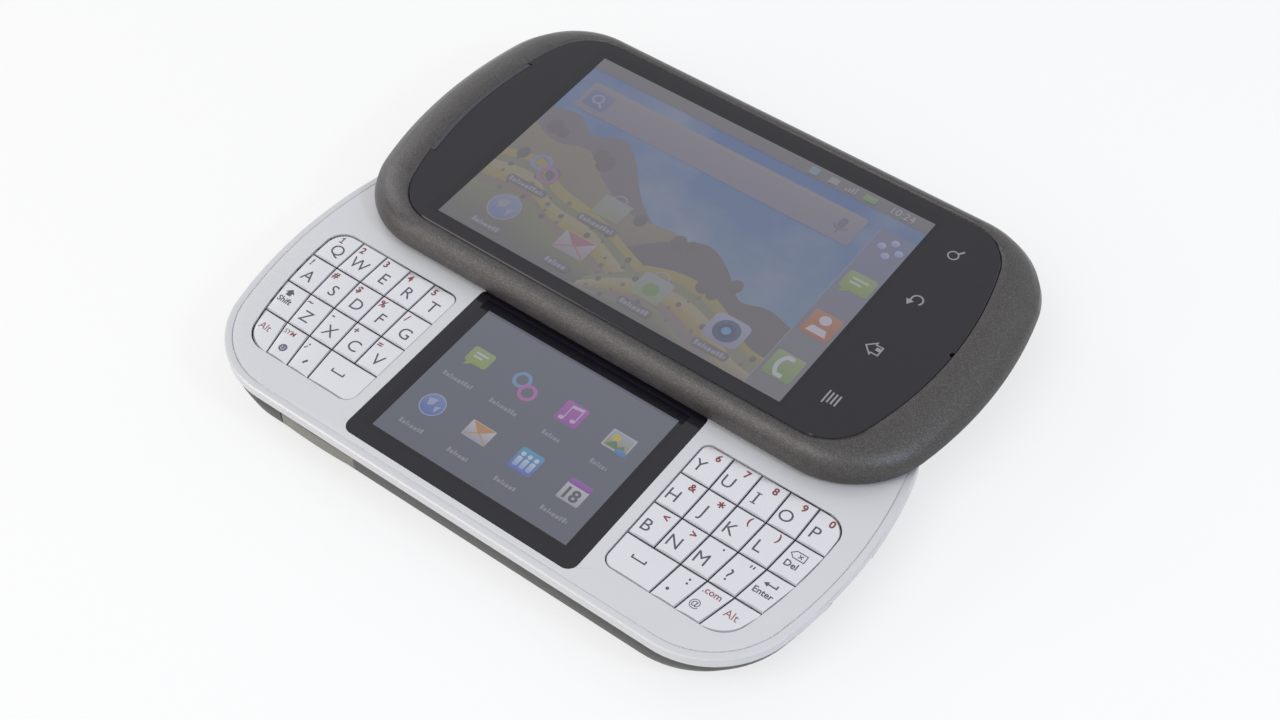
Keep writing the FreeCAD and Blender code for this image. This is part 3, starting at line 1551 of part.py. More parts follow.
def main_glass():
    """The touch glass over the whole front, with a slot for the earpiece and a microphone notch."""
    body = new_body("main_glass_plate", on_upper=True)
    plate = pad(body, "main_glass_pad", barrel(body, "glass"), "dims.glass_thickness")
    doc.recompute()
    top = num("bezel_top") + num("glass_proud") - LEVEL_BAND
    rim = [number for number, edge in enumerate(plate.Shape.Edges, start=1) if edge.BoundBox.ZMin > top]
    edged = body.newObject("PartDesign::Chamfer", "main_glass_edge")
    edged.Base = (plate, [f"Edge{number}" for number in rim])
    edged.setExpression("Size", "dims.glass_edge")
    slot = ring_piece("earpiece_slot", "bezel_recess", "earpiece_slot", "dims.fit_gap")
    notch = rod(
        "mic_notch",
        ("dims.body_length / 2 - dims.bezel_end - dims.glass_gap", "dims.slide_travel", "dims.ledge_level"),
        "dims.mic_notch",
        "2 * dims.glass_thickness",
    )
    return cut("main_glass", body, [slot, notch])


def earpiece_mesh():
    """The mesh strip over the earpiece, in the glass's slot."""
    return ring_piece("earpiece_mesh", "earpiece_outside", "earpiece_inside", "0")


def main_lcd():
    """The main display's panel, between the back's floor and the ledge."""
    return block(
        "main_lcd",
        (
            "dims.main_lcd_shift - dims.main_lcd_length / 2",
            "dims.main_lcd_drop - dims.main_lcd_width / 2",
            "dims.back_top",
        ),
        ("dims.main_lcd_length", "dims.main_lcd_width", "dims.ledge_level - dims.back_top"),
        on_upper=True,
    )


# ---------------------------------------------------------------- assembly

NODES = [
    battery_cover(),
    lower_housing(),
    keypad_fascia(),
    second_glass(),
    second_lcd(),
    keypad_sheets(),
    main_board(),
    battery(),
    headset_socket(),
    camera_module(),
    loudspeaker(),
    slide_carriage(),
    base_screws(),
    volume_rocker(),
    power_key(),
    camera_key(),
    slide_channel(),
    upper_back(),
    upper_bezel(),
    main_lcd(),
    main_glass(),
    earpiece_mesh(),
] + keyboard()

doc.recompute()

for item in doc.Objects:
    if "Invalid" in item.State or "Error" in item.State:
        raise RuntimeError(f"{item.Name}: {item.State}")
for node in NODES:
    if node.Shape.isNull() or not node.Shape.isValid():
        raise RuntimeError(f"{node.Label} has no valid shape")

os.makedirs("parts", exist_ok=True)
for node in NODES:
    node.Shape.exportStep(f"parts/{node.Label}.step")
print(len(NODES), "pieces written")
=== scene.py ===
import math

import bmesh
import bpy
from mathutils import Matrix, Vector
from mathutils.bvhtree import BVHTree


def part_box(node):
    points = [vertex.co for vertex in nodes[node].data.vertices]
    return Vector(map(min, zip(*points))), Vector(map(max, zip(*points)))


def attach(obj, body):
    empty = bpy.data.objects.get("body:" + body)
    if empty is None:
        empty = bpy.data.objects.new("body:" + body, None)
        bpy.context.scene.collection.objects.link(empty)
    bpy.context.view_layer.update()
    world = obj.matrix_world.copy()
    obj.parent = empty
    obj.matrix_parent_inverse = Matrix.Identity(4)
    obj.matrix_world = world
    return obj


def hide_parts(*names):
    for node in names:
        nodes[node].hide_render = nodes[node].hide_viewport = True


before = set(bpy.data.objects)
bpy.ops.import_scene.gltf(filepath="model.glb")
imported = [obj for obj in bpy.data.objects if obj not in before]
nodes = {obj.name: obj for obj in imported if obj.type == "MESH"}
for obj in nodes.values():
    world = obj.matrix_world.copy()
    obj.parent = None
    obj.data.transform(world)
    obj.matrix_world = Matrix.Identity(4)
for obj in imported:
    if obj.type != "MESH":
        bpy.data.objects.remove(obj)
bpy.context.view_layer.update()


# ---------------- camera, table and light
# The open phone lies on its back on a plain white table, in soft light from a pale room. Broad lamps
# stand near it, to its left and beyond it, a low warm one before it and a small cool one to its right.

CAMERA_PLACE = Vector((0.13591, -0.15426, 0.26980))
CAMERA_AXES = (
    Vector((0.80119, 0.59824, -0.01416)),
    Vector((-0.45802, 0.62829, 0.62887)),
    Vector((0.38511, -0.49736, 0.77738)),
)


def stand(name, data):
    """A new object in the scene."""
    made = bpy.data.objects.new(name, data)
    bpy.context.scene.collection.objects.link(made)
    return made


lens = bpy.data.cameras.new("camera")
lens.sensor_width = 36
lens.lens = 55.035
lens.clip_start = 0.01
camera = stand("camera", lens)
camera.matrix_world = Matrix.Translation(CAMERA_PLACE) @ Matrix(CAMERA_AXES).transposed().to_4x4()
bpy.context.scene.camera = camera
bpy.context.scene.view_settings.view_transform = "Standard"


def lamp(name, place, target, size, power, colour):
    """A square soft box that faces a point."""
    light = bpy.data.lights.new(name, "AREA")
    light.shape = "SQUARE"
    light.size = size
    light.energy = power
    light.color = colour
    held = stand(name, light)
    held.location = place
    held.rotation_euler = (Vector(target) - Vector(place)).to_track_quat("-Z", "Y").to_euler()


lamp("near_lamp", (-0.10, -0.56, 0.80), (0, 0, 0), 0.6, 2.8, (1.0, 0.98, 0.97))
lamp("low_lamp", (-0.47, -0.62, 0.27), (0, 0, 0), 0.35, 1.1, (1.0, 0.91, 0.82))
lamp("left_lamp", (-0.88, 0.16, 0.42), (0, 0, 0), 0.4, 1.2, (0.97, 0.96, 1.0))
lamp("right_lamp", (0.46, 0.01, 0.39), (0.04, 0, 0.01), 0.1, 0.65, (0.6, 0.78, 1.0))
lamp("far_lamp", (0.50, 0.72, 0.75), (0, 0, 0), 0.8, 0.5, (1.0, 1.0, 1.0))


def sign(operation, swapped=False):
    """An operator that adds one Math node. Swapped is for a plain number on its left."""

    def operator(self, other):
        return self.finish.maths(operation, *((other, self) if swapped else (self, other)))

    return operator


class Wire:
    """A socket in a shader, so that its maths can be written as an expression."""

    def __init__(self, finish, socket):
        self.finish = finish
        self.socket = socket

    def __abs__(self):
        return self.finish.maths("ABSOLUTE", self)

    __add__, __radd__ = sign("ADD"), sign("ADD", swapped=True)
    __sub__, __rsub__ = sign("SUBTRACT"), sign("SUBTRACT", swapped=True)
    __mul__, __rmul__ = sign("MULTIPLY"), sign("MULTIPLY", swapped=True)
    __truediv__ = sign("DIVIDE")
    __pow__ = sign("POWER")
    __lt__ = sign("LESS_THAN")
    __gt__ = sign("GREATER_THAN")


class Finish:
    """A material, or the world. One method makes every node: a type, its settings and its sockets."""

    def __init__(self, name, kind="materials"):
        self.made = getattr(bpy.data, kind).new(name)
        self.made.use_nodes = True
        self.tree = self.made.node_tree
        self.tree.nodes.clear()

    def node(self, kind, sockets=None, settings=None, out=0):
        made = self.tree.nodes.new("ShaderNode" + kind)
        for name, setting in (settings or {}).items():
            setattr(made, name, setting)
        for name, value in (sockets or {}).items():
            if isinstance(value, Wire):
                self.tree.links.new(value.socket, made.inputs[name])
            else:
                made.inputs[name].default_value = value
        return Wire(self, made.outputs[out]) if made.outputs else None

    def maths(self, operation, *values):
        """One Math node, for the operations that Python has no sign for."""
        return self.node("Math", dict(enumerate(values)), {"operation": operation})

    def place(self):
        """Where a point is on its piece, in metres in the part's frame."""
        return self.node("TexCoord", out="Object")

    def along(self, axis):
        """A point's distance along one axis."""
        return self.node("SeparateXYZ", {"Vector": self.place()}, out=axis)

    def facing_up(self):
        """How much a face looks up: one on a level top, and nothing on an upright side."""
        return self.node("SeparateXYZ", {"Vector": self.node("NewGeometry", out="Normal")}, out="Z")

    def speckle(self, size, detail=2.0, roughness=0.5):
        """Noise whose blots are about size metres wide."""
        sockets = {"Vector": self.place(), "Scale": 1 / size, "Detail": detail, "Roughness": roughness}
        return self.node("TexNoise", sockets)

    def cells(self, scale, out):
        """Scattered cells: how far a point is from its cell's middle, or the cell's own colour."""
        return self.node("TexVoronoi", {"Vector": self.place(), "Scale": scale}, out=out)

    def painted(self):
        """The colour that the artwork was given at each corner."""
        return self.node("Attribute", settings={"attribute_name": "paint"}, out="Color")

    def mix(self, share, first, second):
        """A colour between two others."""
        return self.node("Mix", {0: share, 6: first, 7: second}, {"data_type": "RGBA"}, out=2)

    def relief(self, height, depth):
        """A normal bent by a height map whose full range is depth metres."""
        return self.node("Bump", {"Height": height, "Distance": depth, "Strength": 1.0})

    def end(self, shader, output="OutputMaterial"):
        """Send a shader to the output, and return the finished material."""
        self.node(output, {"Surface": shader})
        return self.made

    def surface(self, sockets):
        """The finished material of one solid surface."""
        return self.end(self.node("BsdfPrincipled", sockets))

    def looked_at(self):
        """One for what the camera sees, straight or in gloss or glass, and nothing for light itself."""
        ways = ("Is Camera Ray", "Is Glossy Ray", "Is Transmission Ray")
        seen, mirrored, through = [self.node("LightPath", out=way) for way in ways]
        return seen + mirrored + through


def paint(red, green, blue):
    """A colour given as it is written for a screen, from 0 to 255, as the linear one a shader takes."""
    shares = [value / 255 for value in (red, green, blue)]
    return (*[((share + 0.055) / 1.055) ** 2.4 for share in shares], 1.0)


def table_top():
    """White card: it takes the phone's shadow, and looks white where no shadow falls."""
    finish = Finish("table_card")
    shade = finish.mix(finish.speckle(0.0008), paint(252, 252, 252), paint(255, 255, 255))
    card = finish.node("BsdfDiffuse", {"Color": shade})
    glow = finish.node("Emission", {"Color": (1, 1, 1, 1), "Strength": 1.0})
    return finish.end(finish.node("MixShader", {0: 0.68 * finish.looked_at(), 1: card, 2: glow}))


def pale_room():
    """The room: plain white where it is seen or mirrored, and dimmer as a source of light."""
    walls = Finish("room_walls", "worlds")
    sockets = {"Color": (0.97, 0.98, 1.0, 1), "Strength": 0.5 + 0.5 * walls.looked_at()}
    return walls.end(walls.node("Background", sockets), "OutputWorld")


bpy.context.scene.world = pale_room()

TABLE_REACH, TABLE_LEVEL = 6.0, -0.00005
card = bpy.data.meshes.new("table")
square = ((-1, -1), (1, -1), (1, 1), (-1, 1))
card.from_pydata([(x * TABLE_REACH, y * TABLE_REACH, TABLE_LEVEL) for x, y in square], [], [(0, 1, 2, 3)])
card.materials.append(table_top())
table = stand("table", card)


# ---------------- back cover and lower housing
# Both are injection-moulded in a dark warm grey plastic with a fine spark-eroded grain. The cover
# clips into the housing from below, and the two together are the base's dark underside.

def grained(name, dark, light, roughness, grain, depth):
    """Textured plastic. Its colour wanders a little, and the grain breaks up its gloss."""
    finish = Finish(name)
    fine = finish.speckle(grain, 3.0, 0.65)
    broad = finish.speckle(0.012)
    rubbed = finish.speckle(0.004, 4.0)
    return finish.surface({
        "Base Color": finish.mix(0.65 * fine + 0.35 * broad, dark, light),
        "Roughness": roughness - 0.06 + 0.12 * rubbed,
        "Normal": finish.relief(fine, depth),
    })


def piece(name, mesh, smooth=False):
    """A new object from a bmesh, in the scene."""
    data = bpy.data.meshes.new(name)
    mesh.to_mesh(data)
    mesh.free()
    if smooth:
        data.shade_smooth()
        data.set_sharp_from_angle(angle=math.radians(35))
    return stand(name, data)


def moulded(node, body, material):
    """A moulding in place of its CAD piece, with its skin run smoothly from strip to strip."""
    mesh = bmesh.new()
    mesh.from_mesh(nodes[node].data)
    bmesh.ops.remove_doubles(mesh, verts=mesh.verts, dist=1e-6)
    made = piece(node + "_moulding", mesh, smooth=True)
    if "custom_normal" in made.data.attributes:
        made.data.attributes.remove(made.data.attributes["custom_normal"])
    skin = made.modifiers.new("even_skin", "WEIGHTED_NORMAL")
    skin.keep_sharp = True
    made.data.materials.append(material)
    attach(made, body)
    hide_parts(node)


lower_plastic = grained("lower_plastic", paint(58, 57, 58), paint(84, 82, 80), 0.5, 0.00022, 0.00003)
moulded("lower_housing", "base", lower_plastic)
cover_plastic = grained("cover_plastic", paint(60, 58, 57), paint(82, 79, 76), 0.56, 0.00028, 0.00005)
moulded("battery_cover", "base", cover_plastic)


# ---------------- inside the base
# A green-black circuit board with copper at its pads, a foil-wrapped cell, a sound box and sockets
# moulded in black, and grey rubber sheets with a dome under each key.

def dress(names, material):
    """Give CAD pieces a material in place of the plain one they come with."""
    for name in names:
        slots = nodes[name].data.materials
        slots.clear()
        slots.append(material)


def circuit_board():
    """Solder mask over tracks, with plated pads. The charging socket below it has a steel shell."""
    shell_height = 0.00245
    tongue_middle, tongue_half_width = -0.0032, 0.00185
    tongue_level, tongue_half_height = 0.00165, 0.0003
    finish = Finish("circuit_board")
    bricks = {"Vector": finish.place(), "Scale": 300.0, "Mortar Size": 0.03, "Mortar": (0, 0, 0, 1)}
    tracks = finish.node("TexBrick", bricks, out="Fac")
    pads = finish.cells(420.0, "Distance") < 0.16
    mask = finish.mix(tracks, paint(18, 62, 44), paint(26, 84, 58))
    height = finish.along("Z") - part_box("main_board")[0].z
    shell = height < shell_height
    within_width = abs(finish.along("Y") - tongue_middle) < tongue_half_width
    tongue = within_width * (abs(height - tongue_level) < tongue_half_height)
    plated = finish.mix(shell, finish.mix(pads, mask, paint(196, 164, 92)), paint(172, 172, 176))
    return finish.surface({
        "Base Color": finish.mix(tongue, plated, paint(24, 24, 26)),
        "Metallic": shell * (1 - tongue) + (1 - shell) * pads,
        "Roughness": 0.42 - 0.12 * pads,
        "Normal": finish.relief(tracks, 0.00003),
    })


def cell_wrap():
    """Printed foil round the cell, a little creased."""
    label_half_length = 0.018
    finish = Finish("cell_wrap")
    creases = finish.speckle(0.006, 5.0)
    label = abs(finish.along("X")) < label_half_length
    return finish.surface({
        "Base Color": finish.mix(label, paint(52, 54, 58), paint(168, 170, 174)),
        "Roughness": 0.3 + 0.2 * creases,
        "Normal": finish.relief(creases, 0.0001),
    })


def rubber_sheet():
    """Moulded silicone with a printed contact under each key."""
    finish = Finish("rubber_sheet")
    contacts = finish.cells(150.0, "Distance") < 0.3
    grain = finish.speckle(0.0004)
    return finish.surface({
        "Base Color": finish.mix(contacts, paint(46, 48, 56), paint(30, 31, 36)),
        "Roughness": 0.62 + 0.1 * grain,
        "Normal": finish.relief(grain, 0.00003),
    })


dress(["main_board"], circuit_board())
dress(["battery"], cell_wrap())
dress(["keypad_sheets"], rubber_sheet())
black_moulding = grained("black_moulding", paint(22, 22, 24), paint(36, 36, 38), 0.4, 0.0003, 0.00002)
dress(["headset_socket", "loudspeaker", "camera_module"], black_moulding)


# ---------------- camera window
# Seen from below: a clear lens window in a thin bright ring, let into the camera's barrel. The ring
# is turned from steel, with a small bevel on its outer edges.

def joined(mesh, rows, closed):
    """Faces from each row of corners to the next. Closed joins a row's last corner to its first."""
    for here, there in zip(rows, rows[1:]):
        for number in range(len(here) if closed else len(here) - 1):
            after = (number + 1) % len(here)
            mesh.faces.new((here[number], there[number], there[after], here[after]))


def turned(name, centre, profile, closed=False):
    """A profile of (radius, level) pairs spun about Z. Closed joins its last point to its first."""
    steps = 64
    mesh = bmesh.new()
    rows = []
    for step in range(steps):
        angle = 2 * math.pi * step / steps
        way = Vector((math.cos(angle), math.sin(angle), 0))
        rows.append([mesh.verts.new(centre + radius * way + Vector((0, 0, z))) for radius, z in profile])
    joined(mesh, rows + rows[:1], closed)
    bmesh.ops.remove_doubles(mesh, verts=mesh.verts, dist=1e-8)
    bmesh.ops.recalc_face_normals(mesh, faces=mesh.faces)
    return piece(name, mesh, smooth=True)


def bright_metal(name, colour, roughness, scratches):
    """Bare or plated metal with fine lines along X."""
    finish = Finish(name)
    stretched = finish.node("Mapping", {"Vector": finish.place(), "Scale": (0.04, 1.0, 1.0)})
    lines = finish.node("TexNoise", {"Vector": stretched, "Scale": 1 / scratches, "Detail": 4.0})
    darker = tuple(0.8 * part for part in colour[:3]) + (1.0,)
    return finish.surface({
        "Base Color": finish.mix(lines, darker, colour),
        "Metallic": 1.0,
        "Roughness": roughness - 0.05 + 0.1 * lines,
        "Normal": finish.relief(lines, 0.00001),
    })


camera_low, camera_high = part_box("camera_module")
camera_middle = ((camera_low + camera_high) / 2).xy.to_3d()


def lens_window():
    """Coated glass over the lens: nearly black, with a violet sheen and a dark iris in its middle."""
    iris_radius = 0.0009
    finish = Finish("lens_window")
    across, up = finish.along("X") - camera_middle.x, finish.along("Y") - camera_middle.y
    iris = (across * across + up * up) ** 0.5 < iris_radius
    return finish.surface({
        "Base Color": finish.mix(iris, paint(30, 26, 44), paint(4, 4, 6)),
        "Roughness": 0.05,
        "Coat Weight": 1.0,
        "Coat Roughness": 0.02,
    })


def fitted(made, body, material):
    """Give a new piece its material, and fix it to a body."""
    made.data.materials.append(material)
    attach(made, body)


RING_INNER, RING_OUTER, RING_LOW, RING_HIGH, RING_BEVEL = 0.0024, 0.0033, 0.00022, 0.0005, 0.000135
ring_profile = (
    (RING_INNER, RING_LOW), (RING_OUTER - RING_BEVEL, RING_LOW), (RING_OUTER, RING_LOW + RING_BEVEL),
    (RING_OUTER, RING_HIGH - RING_BEVEL), (RING_OUTER - RING_BEVEL, RING_HIGH), (RING_INNER, RING_HIGH),
)
ring_metal = bright_metal("camera_ring_metal", paint(176, 176, 180), 0.28, 0.0002)
fitted(turned("camera_ring", camera_middle, ring_profile, closed=True), "base", ring_metal)
window_profile = (
    (0.0, 0.00034), (0.0015, 0.00035), (0.0023, 0.0004), (0.00235, 0.0005), (0.00235, 0.0007), (0.0, 0.0007),
)
fitted(turned("camera_window", camera_middle, window_profile), "base", lens_window())


# ---------------- silver fascia
# A moulded top plate in satin silver paint. The engraved line, the keyboard windows and the second
# display's window are in its shape. Fine aluminium flakes in the paint catch the light.

def silver_paint():
    """Pale silver lacquer with flakes too fine to see one by one."""
    finish = Finish("silver_paint")
    flakes = finish.speckle(0.00012, 2.0, 0.6)
    broad = finish.speckle(0.02)
    return finish.surface({
        "Base Color": finish.mix(0.7 * flakes + 0.3 * broad, paint(204, 204, 207), paint(222, 222, 224)),
        "Metallic": 0.25 * flakes,
        "Roughness": 0.36 + 0.1 * flakes,
        "Coat Weight": 0.25,
        "Coat Roughness": 0.25,
        "Normal": finish.relief(flakes, 0.000006),
    })


moulded("keypad_fascia", "base", silver_paint())


# ---------------- second display
# A small colour panel behind a clear window whose underside carries a black printed frame. The
# panel is lit and shows two rows of four coloured tiles, each over a row of small pale blocks.

def placed(points, x, y, size=1.0):
    """Points drawn about nothing, moved to x and y and drawn size times as large."""
    return [(x + size * a, y + size * b) for a, b in points]


def round_points(x, y, radius, start=0, end=360, steps=24, tall=1.0):
    """Points from one angle to another, in degrees, round a circle or an oval tall times as high as wide."""
    angles = [math.radians(start + (end - start) * step / steps) for step in range(steps + 1)]
    return [(x + radius * math.cos(angle), y + tall * radius * math.sin(angle)) for angle in angles]


def cut(mesh, place, way):
    """Split a bmesh's faces where a plane crosses them."""
    everything = mesh.verts[:] + mesh.edges[:] + mesh.faces[:]
    bmesh.ops.bisect_plane(mesh, geom=everything, plane_co=place, plane_no=way)


class Artwork:
    """Flat artwork seen from above, in millimetres, each shape a layer higher and in a colour of its own."""

    def __init__(self, x=0.0, y=0.0, layer_height=0.0015):
        self.mesh = bmesh.new()
        self.paint = self.mesh.loops.layers.float_color.new("paint")
        self.x, self.y = x, y
        self.layer, self.layer_height = 0, layer_height

    def face(self, points, colours):
        level = self.layer * self.layer_height
        made = self.mesh.faces.new([self.mesh.verts.new((self.x + x, self.y + y, level)) for x, y in points])
        for number, loop in enumerate(made.loops):
            loop[self.paint] = colours[number % len(colours)]
        made.normal_update()
        if made.normal.z < 0:
            made.normal_flip()

    def shape(self, points, colour, low=None):
        """A filled outline on a new layer. With low, its colour runs from low up to colour."""
        self.layer += 1
        bottom, top = min(y for _, y in points), max(y for _, y in points)
        shares = [(y - bottom) / (top - bottom) for _, y in points]
        both = list(zip(colour, low or colour))
        self.face(points, [tuple(b + (a - b) * share for a, b in both) for share in shares])

    def disc(self, x, y, radius, colour, low=None, tall=1.0):
        self.shape(round_points(x, y, radius, tall=tall)[:-1], colour, low)

    def bar(self, x, y, width, height, colour, low=None, corner=0.0):
        """A rectangle about x, y whose corners are rounded."""
        points = []
        for number, (right, far) in enumerate(((1, 1), (-1, 1), (-1, -1), (1, -1))):
            centre = (x + right * (width / 2 - corner), y + far * (height / 2 - corner))
            start = 90 * number
            points += round_points(*centre, corner, start, start + 90, 4) if corner else [centre]
        self.shape(points, colour, low)

    def stroke(self, points, width, colour, closed=False):
        """A line of even width through points, with mitred corners."""
        self.layer += 1
        first, last = (points[-1], points[0]) if closed else (points[0], points[-1])
        line = [Vector(point) for point in (first, *points, last)]
        sides = []
        for before, point, after in zip(line, line[1:], line[2:]):
            ways = [way.normalized() for way in (point - before, after - point) if way.length]
            along = sum(ways, Vector((0, 0))).normalized()
            reach = width / 2 / max(0.3, along.dot(ways[0]))
            sides.append([(point.x - side * along.y, point.y + side * along.x) for side in (reach, -reach)])
        sides += sides[:1] if closed else []
        for here, there in zip(sides, sides[1:]):
            self.face([*here, *there[::-1]], [colour])

    def arc(self, x, y, radius, start, end, width, colour):
        """Part of a ring, from one angle to another in degrees."""
        points = round_points(x, y, radius, start, end, 16)
        whole = abs(end - start) == 360
        self.stroke(points[:-1] if whole else points, width, colour, closed=whole)

    def finished(self, name, level, surface=None, strips=None):
        """The artwork as a piece: flat at a level, or laid on a surface in narrow strips."""
        if surface:
            places = [vertex.co.x for vertex in self.mesh.verts]
            for number in range(1, math.ceil((max(places) - min(places)) / strips)):
                cut(self.mesh, (min(places) + number * strips, 0, 0), (1, 0, 0))
        for vertex in self.mesh.verts:
            vertex.co *= 0.001
            vertex.co.z += surface(vertex.co.x, vertex.co.y) + level if surface else level
        return piece(name, self.mesh)


def glowing(finish, shine):
    """A panel that gives off some light of its own, dark and smooth where it gives none."""
    sockets = {"Base Color": paint(10, 10, 12), "Roughness": 0.04, "Emission Color": shine}
    return finish.surface({**sockets, "Emission Strength": 1.0})


def lit_picture(name, haze):
    """A lit panel: each point shines with its painted colour, dulled by a haze, in a faint grid of rows."""
    finish = Finish(name)
    rows = finish.node("TexWave", {"Vector": finish.place(), "Scale": 700.0}, {"bands_direction": "Y"})
    return glowing(finish, finish.mix(0.08 * rows, finish.mix(0.5, finish.painted(), haze), (0, 0, 0, 1)))


def lit(red, green, blue):
    """The light a panel gives off where it looks like this colour under glass that mirrors a pale room."""
    mirrored = 0.05
    return (*[max(0.0, part - mirrored) for part in paint(red, green, blue)[:3]], 1.0)


def black_gloss(finish):
    """Black print under glass, as smooth and glossy as the glass over it."""
    base = finish.mix(finish.speckle(0.002), paint(22, 20, 28), paint(27, 25, 33))
    return finish.node("BsdfPrincipled", {"Base Color": base, "Roughness": 0.08, "Specular IOR Level": 0.42})


def cover_glass(name, window):
    """Clear hard glass that mirrors at a glancing angle. Round its rim nothing shows but the black print."""
    plain, rim_start = 0.42, 0.0013
    finish = Finish(name)
    facing = finish.node("LayerWeight", {"Blend": 0.5}, out="Facing")
    share = 0.9 * (finish.maths("MAXIMUM", facing - plain, 0.0) / (1 - plain)) ** 3
    clear = finish.node("BsdfTransparent", {"Color": (0.98, 0.985, 0.98, 1)})
    mirror = finish.node("BsdfGlossy", {"Color": (1, 1, 1, 1), "Roughness": 0.03})
    sheet = finish.node("MixShader", {0: share, 1: clear, 2: mirror})
    x, y, half_length, half_width = window
    beyond_end = abs(finish.along("X") - x) > half_length + rim_start
    beyond_side = abs(finish.along("Y") - y) > half_width + rim_start
    from_outside = 1 - finish.node("NewGeometry", out="Backfacing")
    rim = from_outside * finish.maths("MAXIMUM", beyond_end, beyond_side)
    return finish.end(finish.node("MixShader", {0: rim, 1: sheet, 2: black_gloss(finish)}))


def printed_frame(name, glass, window):
    """Ink on the underside of a glass, all but a window given as its middle and half sizes."""
    ink_depth = 0.00001
    mesh = bmesh.new()
    mesh.from_mesh(nodes[glass].data)
    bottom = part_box(glass)[0].z
    upper = [face for face in mesh.faces if max(vertex.co.z for vertex in face.verts) > bottom + 1e-6]
    bmesh.ops.delete(mesh, geom=upper, context="FACES")
    x, y, half_length, half_width = window
    for side in (-1, 1):
        cut(mesh, (x + side * half_length, 0, 0), (1, 0, 0))
        cut(mesh, (0, y + side * half_width, 0), (0, 1, 0))
    middles = [(face, face.calc_center_median()) for face in mesh.faces]
    inside = [face for face, at in middles if abs(at.x - x) < half_length and abs(at.y - y) < half_width]
    bmesh.ops.delete(mesh, geom=inside, context="FACES")
    for vertex in mesh.verts:
        vertex.co.z = bottom + ink_depth
    film = bmesh.ops.extrude_face_region(mesh, geom=mesh.faces[:])
    for vertex in [item for item in film["geom"] if isinstance(item, bmesh.types.BMVert)]:
        vertex.co.z += ink_depth
    bmesh.ops.recalc_face_normals(mesh, faces=mesh.faces)
    return piece(name, mesh)


def panel_body():
    """The back and rim of a display panel: a bent steel frame round black glass."""
    finish = Finish("panel_body")
    up = finish.facing_up() > 0.5
    return finish.surface({
        "Base Color": finish.mix(up, paint(150, 150, 152), paint(12, 12, 14)),
        "Metallic": 1.0 - up,
        "Roughness": 0.32 + 0.1 * finish.speckle(0.0005, 3.0),
    })


def letter_forms(words, weight=0.0):
    """The outlines of some letters as a mesh. Weight makes their strokes wider."""
    curve = bpy.data.curves.new("letters", "FONT")
    curve.body = words
    curve.resolution_u = 3
    curve.offset = weight
    holder = stand("letters", curve)
    bpy.context.view_layer.update()
    forms = bpy.data.meshes.new_from_object(holder.evaluated_get(bpy.context.evaluated_depsgraph_get()))
    bpy.data.objects.remove(holder)
    return forms


CAPITAL = max(vertex.co.y for vertex in letter_forms("H").vertices)


def write(art, words, x, y, height, ink, weight=0.0):
    """Letters centred on x and y. Height is that of a capital."""
    forms = letter_forms(words, weight)
    scale = height / CAPITAL
    corners = [vertex.co for vertex in forms.vertices]
    middle_x = (min(c.x for c in corners) + max(c.x for c in corners)) / 2
    middle_y = (min(c.y for c in corners) + max(c.y for c in corners)) / 2
    outline = [(c.x - middle_x, c.y - middle_y) for c in corners]
    art.layer += 1
    for face in forms.polygons:
        art.face(placed([outline[number] for number in face.vertices], x, y, scale), [ink])


def messages_tile(art, x, y, size, green, shade, lines):
    """A speech bubble with two short lines of writing in it."""
    art.bar(x, y + 0.06 * size, size, 0.78 * size, green, shade, 0.12 * size)
    art.shape(placed(((-0.34, -0.3), (-0.36, -0.54), (-0.08, -0.3)), x, y, size), shade)
    for rise, length in ((0.2, 0.56), (0.02, 0.4)):
        art.bar(x + (length / 2 - 0.28) * size, y + rise * size, length * size, 0.09 * size, lines)


def globe_tile(art, x, y, size, sea, deep, land):
    """A ball with two patches of land and a pale rim."""
    art.disc(x, y, 0.5 * size, land)
    art.disc(x, y, 0.46 * size, sea, deep)
    art.shape(placed(((-0.3, 0.2), (0.05, 0.3), (0, 0), (-0.18, -0.1)), x, y, size), land)
    art.shape(placed(((0.12, -0.02), (0.34, 0.08), (0.22, -0.28)), x, y, size), land)


def letter_tile(art, x, y, size, front, shade, flap):
    """A sealed envelope."""
    art.bar(x, y, size, 0.72 * size, front, shade, 0.05 * size)
    art.shape(placed(((-0.47, 0.34), (0, -0.06), (0.47, 0.34)), x, y, size), flap)
    art.stroke(placed(((-0.47, -0.3), (0, 0), (0.47, -0.3)), x, y, size), 0.04 * size, flap)


def rings_tile(art, x, y, size, cool, warm):
    """Two linked rings."""
    for side, ink in ((-1, cool), (1, warm)):
        art.arc(x + side * 0.2 * size, y - side * 0.14 * size, 0.24 * size, 0, 360, 0.11 * size, ink)


def caption(art, x, y, width, height, ink):
    """What stands for a caption: a row of small blocks, as uneven as writing, that spells nothing."""
    shapes = ((0.50, 1.0), (0.62, 0.66), (0.34, 0.66), (0.58, 0.66), (0.42, 0.9), (0.6, 0.66), (0.3, 1.0))
    edge, number = x - width / 2, 0
    while edge < x + width / 2 - 0.2:
        broad, tall = shapes[(number * 3 + len(shapes) * round(abs(x))) % len(shapes)]
        broad = min(broad * height, x + width / 2 - edge)
        art.bar(edge + broad / 2, y - height * (1 - tall) / 2, broad, tall * height, ink, corner=0.1 * height)
        edge += broad + 0.16 * height
        number += 1


SECOND_X, SECOND_Y = -0.56, -9.63
SECOND_WINDOW = (0.001 * SECOND_X, 0.001 * SECOND_Y, 0.0206, 0.0154)
black_ink = Finish("black_ink")
frame_ink = black_ink.end(black_gloss(black_ink))
fitted(printed_frame("second_display_frame", "second_glass", SECOND_WINDOW), "base", frame_ink)
panel_finish = panel_body()
dress(["second_lcd", "main_lcd"], panel_finish)
dress(["second_glass"], cover_glass("second_display_glass", SECOND_WINDOW))

